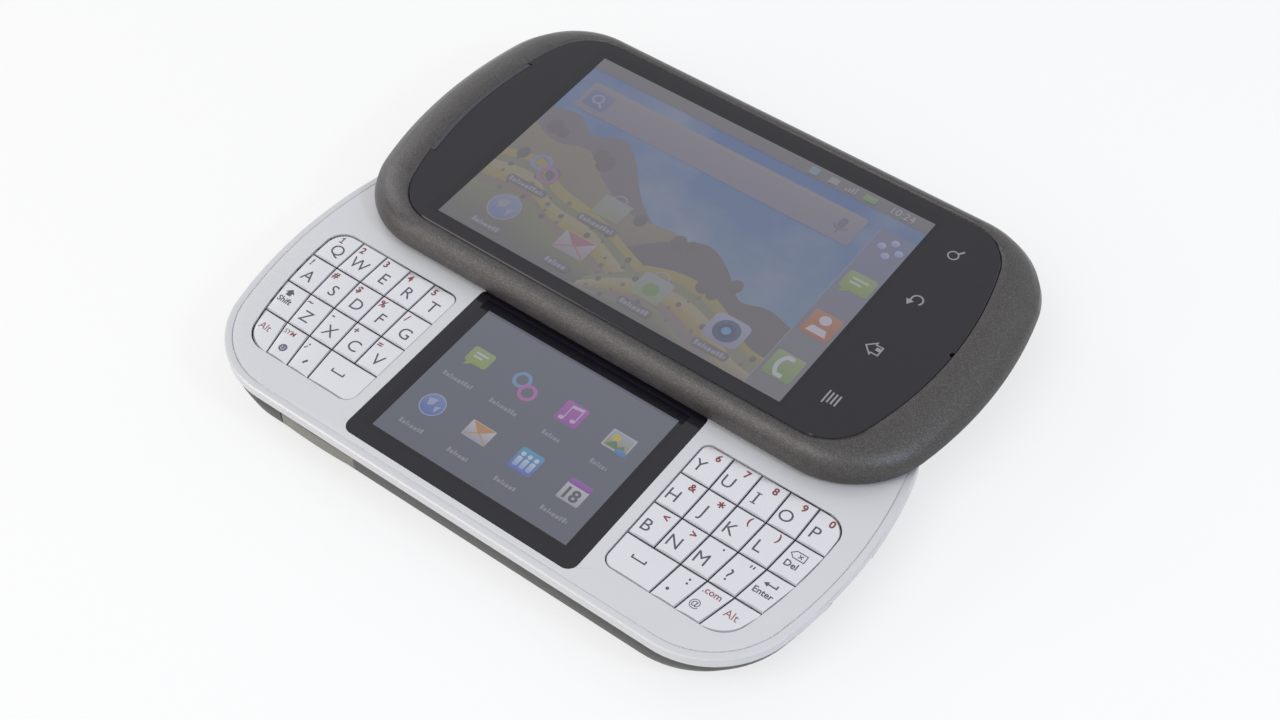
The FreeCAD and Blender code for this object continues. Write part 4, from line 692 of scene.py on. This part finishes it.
NOTE, FIGURE = lit(214, 190, 220), lit(214, 220, 236)
menu = Artwork(SECOND_X, SECOND_Y)
menu.bar(0, 0, 41.2, 30.8, lit(116, 118, 128), lit(108, 110, 120))
messages_tile(menu, -15, 6, 4.6, lit(160, 178, 126), lit(158, 174, 86), lit(206, 208, 206))
rings_tile(menu, -4.9, 5.9, 6, lit(132, 160, 205), lit(196, 116, 180))
menu.bar(5.2, 5.9, 4.6, 4.6, lit(184, 108, 190), lit(168, 92, 178), 0.5)
for side in (-1, 1):
    menu.disc(5.1 + side * 1.1, 4.6 + side * 0.15, 0.52, NOTE, tall=0.75)
    menu.bar(5.5 + side * 1.1, 6.05 + side * 0.15, 0.22, 2.9, NOTE)
menu.shape([(4.3, 7), (6.7, 7.3), (6.7, 7.9), (4.3, 7.6)], NOTE)
menu.bar(15.2, 5.9, 4.9, 3.9, lit(196, 194, 204), corner=0.15)
menu.bar(15.2, 5.9, 4.3, 3.3, lit(176, 184, 204), lit(172, 160, 96))
menu.disc(14.3, 6.4, 0.8, lit(214, 188, 84))
menu.shape([(13.2, 4.4), (14.6, 5.9), (15.6, 4.9), (16.4, 5.7), (17.2, 4.4)], lit(108, 140, 92))
menu.bar(16.6, 4.3, 2.2, 1.1, lit(98, 158, 206), lit(84, 130, 190), 0.5)
globe_tile(menu, -15, -6.3, 4.8, lit(134, 148, 208), lit(96, 120, 190), lit(172, 182, 206))
letter_tile(menu, -4.9, -6.3, 5, lit(214, 208, 214), lit(178, 172, 184), lit(204, 152, 92))
menu.bar(5.2, -6.3, 4.7, 4.7, lit(96, 170, 208), lit(108, 120, 205), 0.5)
for number in (-1, 0, 1):
    menu.disc(5.2 + number * 1.35, -5.2, 0.45, FIGURE)
    menu.bar(5.2 + number * 1.35, -6.9, 0.95, 2.1, FIGURE, lit(160, 176, 226), 0.3)
menu.bar(15.4, -6.5, 4.4, 4.5, lit(216, 214, 222), lit(186, 184, 194), 0.25)
menu.bar(15.4, -4.75, 4.4, 1.2, lit(178, 98, 190), lit(150, 82, 176), 0.25)
write(menu, "18", 15.4, -7.1, 2.3, lit(98, 96, 108), 0.03)
for x, y, width in (
    (-15, 0.3, 6.2), (-4.9, 0.3, 6), (5.2, 0.3, 3.6), (15.2, 0.3, 3.4),
    (-15, -11.8, 5), (-4.9, -11.8, 4.2), (5.2, -11.8, 4.4), (15.4, -11.8, 5.4),
):
    caption(menu, x, y, width, 1, lit(158, 157, 168))
second_picture = menu.finished("second_display_picture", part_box("second_lcd")[1].z + 0.00004)
fitted(second_picture, "base", lit_picture("second_display_light", lit(118, 120, 130)))


# ---------------- keys
# Nineteen moulded keys on each side, painted pale silver like the fascia and domed a little from
# left to right. Their legends are printed in dark grey, and the second ones in dark red.

def key_paint():
    """Bright silver keys. Their flanks are painted dark grey as shade in the gaps between them, their far
    ends roll away, and their chamfered edges are painted darker as shade.
    """
    gap, rolled_length, rolled_depth, gap_shade_level = 0.0001, 0.0036, 0.00022, 0.00115
    finish = Finish("key_paint")
    flakes = finish.speckle(0.00011, 2.0, 0.6)
    peel = finish.speckle(0.0009, 1.0)
    silver = finish.mix(flakes, paint(212, 211, 216), paint(229, 228, 233))
    low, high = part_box("key_t")
    row = high.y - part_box("key_g")[1].y
    from_far_end = finish.maths("MODULO", high.y + gap - finish.along("Y"), row)
    fall = finish.maths("MAXIMUM", 1 - from_far_end / rolled_length, 0.0)
    # Painted shade: below this level the flanks are dark grey, standing in for the shade that falls in the
    # gaps between the keys.
    sides = finish.along("Z") < low.z + gap_shade_level
    edges = finish.facing_up() < 0.9
    # Painted shade: the chamfered edges, which do not face up, are painted a darker grey to dim the bright
    # lines they catch.
    edge_shaded_silver = finish.mix(edges, silver, paint(176, 175, 182))
    return finish.surface({
        "Base Color": finish.mix(sides, edge_shaded_silver, paint(60, 60, 68)),
        "Metallic": 0.8 - 0.5 * edges,
        "Roughness": 0.2 + 0.06 * flakes + 0.2 * edges,
        "Normal": finish.relief(0.000012 * peel - rolled_depth * fall * fall, 1.0),
    })


def printed_ink(name, thin, share, bare, roughness):
    """Ink in its own colour, which lets a little of a bare colour through where it is thin."""
    finish = Finish(name)
    base = finish.mix(share * finish.speckle(*thin), finish.painted(), bare)
    return finish.surface({"Base Color": base, "Roughness": roughness})


DARK = paint(74, 76, 86)
RED = paint(128, 60, 58)
PALE_RED = paint(142, 84, 86)
FAINT = paint(124, 82, 84)
PALE = paint(214, 214, 222)
ROWS = (
    ("qwert", "12345"), ("asdfg", "!#$%/"), ("zxcv", "~-+="),
    ("yuiop", "67890"), ("hjkl", "&*()"), ("bn", "<>"),
)
LEGENDS = {key: key.upper() + second for row in ROWS for key, second in zip(*row)}
LEGENDS.update(m="M", question="?")
ASIDE = {"a": -0.4, "z": -0.5, "w": -0.35, "x": -0.25, "y": -0.15, "u": -0.15, "i": -0.25, "h": -0.15}


def word_mark(art, key):
    """What a key without a letter carries. Each mark has its own place on the keyboards."""
    if key.startswith("space"):
        x = -32.64 if key == "space_left" else 31.36
        art.stroke(placed(((-1.25, 0.62), (-1.25, 0), (1.25, 0), (1.25, 0.62)), x, -20.9), 0.28, DARK)
    elif key.startswith("alt"):
        write(art, "Alt", -49.8 if key == "alt_left" else 49.05, -20.45, 1.4, PALE_RED)
    elif key == "comma":
        art.stroke([(-38.6, -21.7), (-39.1, -22.6)], 0.42, DARK)
        art.disc(-40.8, -18.85, 0.2, FAINT)
        art.stroke([(-40.85, -19.3), (-41.2, -19.9)], 0.26, FAINT)
    elif key == "period":
        for x, y, radius in ((38.1, -22.3, 0.3), (40.05, -18.95, 0.21), (40.05, -19.8, 0.21)):
            art.disc(x, y, radius, DARK)
    elif key == "shift":
        arrow = ((0, 0.85), (1, -0.05), (0.5, -0.05), (0.5, -0.7), (-0.5, -0.7), (-0.5, -0.05), (-1, -0.05))
        art.shape(placed(arrow, -51.6, -12.25), DARK)
        write(art, "Shift", -51.3, -14, 1.15, DARK, 0.02)
    elif key == "del":
        x, y = 51.4, -5.3
        outline = ((-1.45, 0), (-0.7, 0.7), (1.3, 0.7), (1.3, -0.7), (-0.7, -0.7))
        art.stroke(placed(outline, x, y), 0.17, DARK, closed=True)
        for side in (-0.36, 0.36):
            art.stroke([(x, y - side), (x + 0.7, y + side)], 0.17, DARK)
        write(art, "Del", 51.2, -7.3, 1.2, DARK, 0.02)
    elif key == "enter":
        x, y = 50.8, -12.45
        art.stroke(placed(((1.15, 0.65), (1.15, 0), (-0.5, 0)), x, y), 0.26, DARK)
        art.shape(placed(((-1.2, 0), (-0.35, 0.5), (-0.35, -0.5)), x, y), DARK)
        write(art, "Enter", 50.65, -14.2, 1.15, DARK, 0.02)
    elif key == "sym":
        x, y = -44.05, -22.15
        write(art, "SYM", -45.4, -18.95, 0.95, PALE_RED, 0.01)
        art.disc(x, y, 0.8, paint(92, 92, 112))
        for side in (-0.28, 0.28):
            art.disc(x + side, y + 0.2, 0.13, PALE)
        art.arc(x, y + 0.05, 0.42, 200, 340, 0.13, PALE)
    elif key == "at":
        write(art, ".com", 44.4, -19.1, 1.2, PALE_RED, 0.015)
        write(art, "@", 43.2, -22.05, 1.35, DARK)


def letter_mark(art, key, low, high):
    """A key's letter, and its second sign at the outer far corner, nearer the pad's middle line."""
    letter, second = LEGENDS[key][:1], LEGENDS[key][1:]
    left, far, width = 1000 * low.x, 1000 * high.y, 1000 * (high.x - low.x)
    on_left = high.x < 0
    x, y = left + (0.56 if on_left else 0.34) * width + ASIDE.get(key, 0), far - 4.35
    write(art, letter, x, y, 2.35, DARK)
    if letter == "I":
        for rise in (-1.1, 1.1):
            art.bar(x, y + rise, 1, 0.2, DARK)
    beside = {"q": 0.36, "p": 0.58}.get(key, 0.2 if on_left else 0.65)
    x, y = left + beside * width, far - 1.45
    if second == "1":
        art.stroke(placed(((-0.2, 0), (0.2, 0.25), (0.2, -0.93)), x, y), 0.25, FAINT)
        art.bar(x + 0.2, y - 0.95, 0.95, 0.2, FAINT)
    elif second == "*":
        for angle in (30, 90, 150):
            art.stroke(round_points(x, y, 0.68, angle, angle + 180, 1), 0.27, RED)
    elif second:
        write(art, second, x, y, 1.35, FAINT if second in "!~-+=/" else RED, 0.03)
    if key == "m":
        art.disc(x + 0.2, y + 0.4, 0.19, DARK)
    if key == "question":
        for aside in (0, 0.55):
            art.stroke([(x + aside + 0.1, y + 0.75), (x + aside, y + 0.15)], 0.24, DARK)


def key_legend(node_name):
    """What is printed on one key, laid on its domed top."""
    key = node_name[len("key_"):]
    low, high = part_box(node_name)
    art = Artwork()
    if key in LEGENDS:
        letter_mark(art, key, low, high)
    else:
        word_mark(art, key)
    top = BVHTree.FromObject(nodes[node_name], bpy.context.evaluated_depsgraph_get())

    def key_top(x, y):
        """The level of the key's domed top under a point."""
        found = top.ray_cast(Vector((x, y, high.z + 0.01)), Vector((0, 0, -1)))[0]
        return found.z if found else high.z

    return art.finished(f"{node_name}_legend", 0.000012, key_top, 0.25)


key_names = sorted(name for name in nodes if name.startswith("key_"))
dress(key_names, key_paint())
key_ink = printed_ink("key_ink", (0.00025, 3.0), 0.1, paint(150, 150, 158), 0.5)
for node_name in key_names:
    fitted(key_legend(node_name), node_name, key_ink)


# ---------------- keys at the sides
# The volume rocker is moulded in a lighter greenish grey than the housing round it. The power key
# and the shutter key are small satin keys in the same colour.

rocker_plastic = grained("rocker_plastic", paint(108, 107, 100), paint(134, 132, 124), 0.4, 0.0002, 0.000012)
dress(["volume_rocker", "power_key", "camera_key"], rocker_plastic)


# ---------------- slide, screws and mesh
# The slide is a folded spring-steel channel that runs on a plate with wings. Plated screws hold
# the plate to the base, and a fine woven strip covers the earpiece.

dress(["slide_carriage", "slide_channel"], bright_metal("slide_steel", paint(198, 198, 200), 0.3, 0.00025))
dress(["base_screws"], bright_metal("screw_plating", paint(182, 182, 186), 0.22, 0.0001))


def woven_mesh():
    """Wire cloth: two sets of fine round wires at right angles, dark in their holes."""
    finish = Finish("woven_mesh")
    waves = {"Vector": finish.place(), "Scale": 1000.0}
    along, across = [finish.node("TexWave", waves, {"bands_direction": axis}) for axis in "XY"]
    cloth = finish.maths("MAXIMUM", along, across)
    return finish.surface({
        "Base Color": finish.mix(cloth, paint(36, 36, 42), paint(84, 84, 92)),
        "Metallic": 0.6,
        "Roughness": 0.4,
        "Normal": finish.relief(cloth, 0.00008),
    })


def earpiece_cloth():
    """The strip itself: pressed to a raised edge all round, with rounded ends, in a black carrier."""
    half_width, end_gap, side_gap, spans = 0.00048, 0.0002, 0.00003, 48
    outer_half = ((0.72, 0.09), (0.88, 0.13), (1, 0.11), (1, -0.1))
    section = [(-share, rise) for share, rise in outer_half[::-1]] + list(outer_half)
    low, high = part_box("earpiece_mesh")
    carrier = BVHTree.FromObject(nodes["earpiece_mesh"], bpy.context.evaluated_depsgraph_get())
    half_length = (high.y - low.y) / 2 - end_gap
    centre, level = (low.y + high.y) / 2, (low.z + high.z) / 2
    angles = [math.radians(angle) for angle in (10, 25, 40, 55, 70, 90)]
    ends = [half_length - half_width * (1 - math.cos(angle)) for angle in angles]
    straight = ends[-1]
    between = [straight * (1 - 2 * step / spans) for step in range(1, spans)]
    mesh = bmesh.new()
    rows = []
    for y in ends + between + [-y for y in ends[::-1]]:
        past = min(1.0, max(0.0, (abs(y) - straight) / half_width))
        width = half_width * math.sqrt(1 - past * past)
        inner = carrier.ray_cast(Vector((high.x + 0.01, centre + y, level)), Vector((-1, 0, 0)))[0].x
        across = inner - side_gap - half_width
        row = [(across + share * width, centre + y, high.z + 0.001 * rise) for share, rise in section]
        rows.append([mesh.verts.new(corner) for corner in row])
    joined(mesh, rows, closed=True)
    mesh.faces.new(rows[0])
    mesh.faces.new(rows[-1][::-1])
    bmesh.ops.recalc_face_normals(mesh, faces=mesh.faces)
    return piece("earpiece_cloth", mesh, smooth=True)


dress(["earpiece_mesh"], black_moulding)
fitted(earpiece_cloth(), "upper", woven_mesh())


# ---------------- upper half
# The moving half is moulded in a warm dark grey with a metallic soft-touch coat over a fine grain,
# so that it shimmers at its shoulders. Its back plate is the same, but plainer.

def soft_coat():
    """Warm grey coat with pearl flakes, partly their own pale colour and partly painted glints, and a pebbled
    surface.
    """
    finish = Finish("soft_coat")
    pebbles = finish.speckle(0.00021, 2.0, 0.6)
    spark = finish.node("SeparateColor", {"Color": finish.cells(7000.0, "Color")}, out="Red")
    ground = finish.mix(0.7 * pebbles + 0.3 * finish.speckle(0.015), paint(46, 43, 42), paint(70, 66, 64))
    return finish.surface({
        # Painted glints: scattered small cells are painted lighter, partly the flakes' paler colour and
        # partly standing in for the light they catch.
        "Base Color": finish.mix(0.35 * spark * spark, ground, paint(122, 120, 120)),
        "Metallic": 0.45,
        "Roughness": 0.26 + 0.1 * pebbles,
        "Specular IOR Level": 0.75,
        "Normal": finish.relief(pebbles, 0.00006),
    })


moulded("upper_bezel", "upper", soft_coat())
back_plastic = grained("upper_back_plastic", paint(52, 50, 49), paint(78, 75, 72), 0.5, 0.00026, 0.00003)
moulded("upper_back", "upper", back_plastic)


# ---------------- main display
# A colour panel behind the touch glass. It is lit, and shows dry hills and mustard fields under a
# cloudy sky, with a status strip, a search field, coloured tiles and a column of four tiles.

MAIN_X, MAIN_Y = -3.16, 39.48
HALF_LENGTH, HALF_WIDTH = 36.8, 24.55
glass_low, glass_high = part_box("main_glass")
cell_top = glass_low.z - 0.00005
main_window = [0.001 * value for value in (MAIN_X, MAIN_Y, HALF_LENGTH, HALF_WIDTH)]
fitted(printed_frame("main_display_frame", "main_glass", main_window), "upper", frame_ink)
dress(["main_glass"], cover_glass("main_display_glass", main_window))


def display_cell():
    """The panel's front glass: a thin slab from the panel up to just under the touch glass."""
    overlap = 0.3
    slab = bmesh.new()
    bmesh.ops.create_cube(slab, size=1.0)
    for vertex in slab.verts:
        vertex.co.x = 0.001 * (MAIN_X + 2 * vertex.co.x * (HALF_LENGTH + overlap))
        vertex.co.y = 0.001 * (MAIN_Y + 2 * vertex.co.y * (HALF_WIDTH + overlap))
        vertex.co.z = cell_top if vertex.co.z > 0 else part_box("main_lcd")[1].z
    bmesh.ops.bevel(slab, geom=slab.edges[:], offset=0.00012, segments=2, affect="EDGES")
    return piece("main_display_cell", slab)


def sky_light():
    """The sky: pale near the hills, deeper above, with soft clouds."""
    near_edge, height = 0.0150, 0.049
    finish = Finish("sky_light")
    rise = (finish.along("Y") - near_edge) / height
    puffs = finish.speckle(0.022, 4.0, 0.55)
    clouds = finish.node("MapRange", {"Value": puffs, "From Min": 0.48, "From Max": 0.72})
    blue = finish.mix(rise, lit(122, 134, 150), lit(108, 118, 148))
    return glowing(finish, finish.mix(0.55 * clouds, blue, lit(140, 142, 152)))


fitted(display_cell(), "upper", panel_finish)
sky_art = Artwork(MAIN_X, MAIN_Y)
sky_art.bar(0, 0, 2 * HALF_LENGTH, 2 * HALF_WIDTH, lit(112, 122, 145))
fitted(sky_art.finished("main_display_sky", cell_top + 0.000004), "upper", sky_light())


def hill(art, top, foot, *ridge):
    """A slope whose ridge is a smooth line through a few points, filled down to the near edge."""
    line = [ridge[0], *ridge, ridge[-1]]
    points = []
    for around in zip(line, line[1:], line[2:], line[3:]):
        for step in range(6):
            t = step / 6
            weights = (
                -0.5 * t + t * t - 0.5 * t**3,
                1 - 2.5 * t * t + 1.5 * t**3,
                0.5 * t + 2 * t * t - 1.5 * t**3,
                0.5 * t**3 - 0.5 * t * t,
            )
            points.append(tuple(sum(w * q[axis] for w, q in zip(weights, around)) for axis in (0, 1)))
    points.append(ridge[-1])
    art.layer += 1
    for left, right in zip(points, points[1:]):
        corners = [left, right, (right[0], -HALF_WIDTH), (left[0], -HALF_WIDTH)]
        art.face(corners[::-1], [foot, foot, top, top])


ROCK, PLUM, DUSK = lit(116, 110, 110), lit(126, 118, 126), lit(112, 106, 104)
SAND, MUSTARD, CLAY = lit(140, 132, 118), lit(156, 144, 96), lit(138, 124, 116)
OLIVE, STRAW = lit(132, 132, 108), lit(160, 150, 122)
land = Artwork(MAIN_X, MAIN_Y)
hill(land, PLUM, ROCK, (-36.8, 8.6), (-31, 9.6), (-26, 6.8), (-20.5, 9.2), (-15.5, 6), (-9, -1), (-2, -6))
hill(land, SAND, DUSK, (-36.8, 3.4), (-30.5, 1.5), (-24, 3.2), (-17, -1.6), (-8, -5.2), (2, -4.2), (10, -8.5))
hill(land, ROCK, DUSK, (-6, -14), (0, -7.4), (7, -3.2), (13, -5.6), (19, -10.4), (25, -9.2), (36.8, -13))
hill(land, MUSTARD, CLAY, (-36.8, -5), (-29.5, -3.4), (-22, -7), (-13, -8.6), (-4, -11.8), (8, -16.4))
hill(land, MUSTARD, DUSK, (-8, -20), (1, -13.4), (10, -11), (18.5, -13.6), (27, -18.2), (36.8, -17))
hill(land, PLUM, CLAY, (-36.8, -14.2), (-27, -13.2), (-17, -16.8), (-6, -19.4), (4, -22.6))
hill(land, SAND, DUSK, (14, -24.5), (21, -19.8), (29, -20.6), (36.8, -22.4))
for x, y, size in (
    (-33, 4.6, 1.5), (-30.8, 4, 1.1), (-21.5, 3.4, 1.3), (-19.6, 2.2, 1.7), (-6, -5.4, 1.2),
    (2.6, -5.6, 1.4), (5, -5, 1), (16.6, -8.2, 1.3), (-33.5, -4.2, 1.2), (-25.6, -5.8, 1.4),
    (12.2, -11.2, 1.5), (14.4, -12, 1.1),
):
    land.disc(x, y, size, ROCK, DUSK, 1.25)


def shrubs(art, line, shift):
    """Eight small dark shrubs of uneven size, scattered along a terrace."""
    art.layer += 1
    for number in range(8):
        share = ((number * 0.618 + shift) % 1.0) * (len(line) - 1.01)
        (x, y), (next_x, next_y) = line[int(share)], line[int(share) + 1]
        x, y = x + (share % 1) * (next_x - x), y + (share % 1) * (next_y - y) + 0.3
        if -36 < x < 35.5 and y > -23.6:
            size = 0.28 + 0.08 * (number * 3 % 5)
            ring = round_points(x, y, size, steps=8, tall=1.2)[:-1]
            art.face(ring, [lit(120, 116, 106) if number % 3 else DUSK])


def terraces(art, drift, *ridge):
    """Five banks below a hill's ridge, each a step nearer and a little to one side of the last."""
    banks = ((OLIVE, CLAY), (STRAW, CLAY), (MUSTARD, DUSK), (CLAY, PLUM), (OLIVE, DUSK))
    for step, (top, foot) in enumerate(banks):
        line = []
        for number, (x, y) in enumerate(ridge):
            wave = 0.35 * math.sin(2.1 * number + step)
            line.append((x + (drift * step if number else min(0, drift * step)), y - 1.9 * step + wave))
        hill(art, top, foot, *[(x, max(-24.4, y)) for x, y in line])
        shrubs(art, line, step * 0.37)


terraces(land, 0.9, (-36.8, -7), (-29.5, -5.6), (-22, -9), (-13, -10.6), (-5, -13.4), (6, -18))
terraces(land, -0.5, (-6, -21.5), (1, -15.6), (10, -13.2), (18.5, -15.8), (26, -20), (34, -20.5))
main_light = lit_picture("main_display_light", lit(124, 124, 133))
fitted(land.finished("main_display_land", cell_top + 0.000006), "upper", main_light)

LENS, MICROPHONE, BAG = lit(150, 152, 176), lit(118, 112, 128), lit(150, 150, 158)
BASKET, PERSON, HANDSET = lit(146, 146, 150), lit(196, 190, 206), lit(186, 190, 206)
tiles = Artwork(MAIN_X, MAIN_Y)
tiles.bar(33.2, -3.1, 7.2, 42.8, lit(122, 126, 152), lit(124, 120, 120))
tiles.stroke([(29.6, 18.2), (29.6, -24.5)], 0.16, lit(142, 142, 160))
tiles.bar(0, HALF_WIDTH - 1.55, 2 * HALF_LENGTH, 3.1, lit(120, 118, 120), lit(116, 115, 116))
tiles.bar(-3.6, 14.7, 61, 7.6, lit(143, 137, 146), lit(134, 129, 141), 0.8)
tiles.stroke([(-33.3, 17.9), (26.1, 17.9)], 0.22, lit(152, 142, 140))
tiles.bar(-30.6, 14.6, 5.2, 4.6, lit(120, 124, 156), lit(112, 116, 150), 0.9)
tiles.arc(-30.9, 14.9, 1.05, 0, 360, 0.4, LENS)
tiles.stroke([(-30.2, 14.1), (-29.2, 13.2)], 0.45, LENS)
tiles.bar(23.4, 15.1, 1.5, 2.7, MICROPHONE, corner=0.7)
tiles.arc(23.4, 14.9, 1.4, 190, 350, 0.32, MICROPHONE)
tiles.bar(23.4, 12.9, 0.3, 1, MICROPHONE)
globe_tile(tiles, -27.7, -17, 6.4, lit(136, 142, 172), lit(116, 124, 160), lit(150, 148, 160))
rings_tile(tiles, -27.7, -5.4, 7.2, lit(126, 138, 168), lit(150, 116, 150))
tiles.bar(-11.7, -6.2, 6, 5, BASKET, lit(140, 142, 118), 0.3)
tiles.arc(-11.7, -3.9, 1.3, 0, 180, 0.35, BASKET)
letter_tile(tiles, -11.8, -17, 6.6, lit(164, 158, 164), lit(152, 140, 148), lit(156, 112, 116))
tiles.bar(5.2, -17, 6.2, 5.6, BAG, lit(140, 146, 110), 0.5)
tiles.arc(5.2, -14.4, 1.5, 0, 180, 0.35, BAG)
tiles.disc(5.2, -17.4, 1.5, lit(120, 142, 96))
tiles.bar(21.1, -17.2, 7.2, 6.2, lit(156, 156, 178), lit(140, 140, 164), 1.4)
tiles.disc(21.1, -17.3, 2.5, lit(96, 100, 122), lit(86, 88, 108))
tiles.disc(21.1, -17.3, 1.6, lit(72, 86, 112))
tiles.disc(21, -17.3, 0.85, lit(110, 150, 196))
for x, y in round_points(33.6, 14.6, 1.75, end=270, steps=3):
    tiles.disc(x, y, 0.8, lit(176, 178, 206), lit(140, 146, 196))
messages_tile(tiles, 33.4, 4.3, 5.8, lit(146, 162, 112), lit(132, 150, 84), lit(178, 188, 168))
tiles.bar(33.4, -6.9, 5.6, 5.8, lit(178, 128, 92), lit(172, 106, 76), 0.5)
tiles.disc(33.4, -5.6, 1.1, PERSON)
tiles.shape([(31.4, -9), (32, -7.5), (34.8, -7.5), (35.4, -9)], PERSON)
tiles.bar(33.2, -18, 5.6, 5.8, lit(146, 162, 116), lit(124, 146, 92), 0.5)
tiles.arc(35, -18, 3, 130, 230, 0.75, HANDSET)
for side in (-1, 1):
    tiles.bar(33.5, -18 + side * 2.05, 1.3, 0.9, HANDSET, corner=0.3)
for x, y, width in (
    (-27.7, -22.2, 5.8), (-27.7, -10.6, 7.6), (-11.7, -10.8, 7.2),
    (-11.8, -22.2, 4.6), (5.2, -22.2, 5.8), (21.1, -22.2, 6.2),
):
    tiles.bar(x, y, width + 1.2, 1.9, lit(112, 110, 112), corner=0.8)
    caption(tiles, x, y, width, 1.15, lit(150, 146, 156))
tiles.bar(12.3, 22.9, 1.9, 1.9, lit(134, 150, 162), corner=0.4)
tiles.bar(16.6, 22.8, 2, 1.5, lit(150, 148, 152))
for step in range(4):
    height = 0.6 + 0.4 * step
    tiles.bar(19.4 + 0.6 * step, 22 + height / 2, 0.4, height, lit(160, 150, 156))
tiles.bar(24.3, 22.8, 2.6, 1.5, lit(138, 158, 118), lit(120, 146, 88), 0.3)
write(tiles, "10:24", 31.2, 22.9, 1.6, lit(172, 172, 180))
fitted(tiles.finished("main_display_tiles", cell_top + 0.00007), "upper", main_light)


# ---------------- touch keys
# Four pale signs at the right end of the glass: search, back, home and menu. They are printed in a
# thin even ink that lies flush with the glass.

SIGN = paint(150, 150, 155)
signs = Artwork(40.58, 39.38, layer_height=0.0003)
signs.arc(-0.25, 19.3, 0.95, 0, 360, 0.26, SIGN)
signs.stroke([(0.35, 20.1), (1.05, 21.1)], 0.36, SIGN)
signs.arc(0.1, 6.85, 1.05, -48, 180, 0.3, SIGN)
signs.stroke([(-0.95, 6.9), (-0.95, 6.1)], 0.32, SIGN)
signs.shape([(-1.7, 6.3), (-0.95, 5.1), (-0.2, 6.3)], SIGN)
house = ((-1.65, 0), (-0.2, 1.4), (-0.2, 0.95), (1.15, 0.95), (1.15, -0.95), (-0.2, -0.95), (-0.2, -1.4))
signs.stroke(placed(house, 0, -6.5), 0.26, SIGN, closed=True)
signs.bar(0.65, -6.3, 0.95, 0.75, SIGN)
signs.bar(-1.05, -19.55, 0.3, 3, SIGN)
for number in range(1, 4):
    signs.bar(-1.05 + 0.72 * number, -19.4, 0.32, 2.4, SIGN)
pale_ink = printed_ink("pale_ink", (0.0003,), 0.15, paint(90, 90, 96), 0.6)
fitted(signs.finished("touch_key_signs", glass_high.z + 0.000002), "upper", pale_ink)
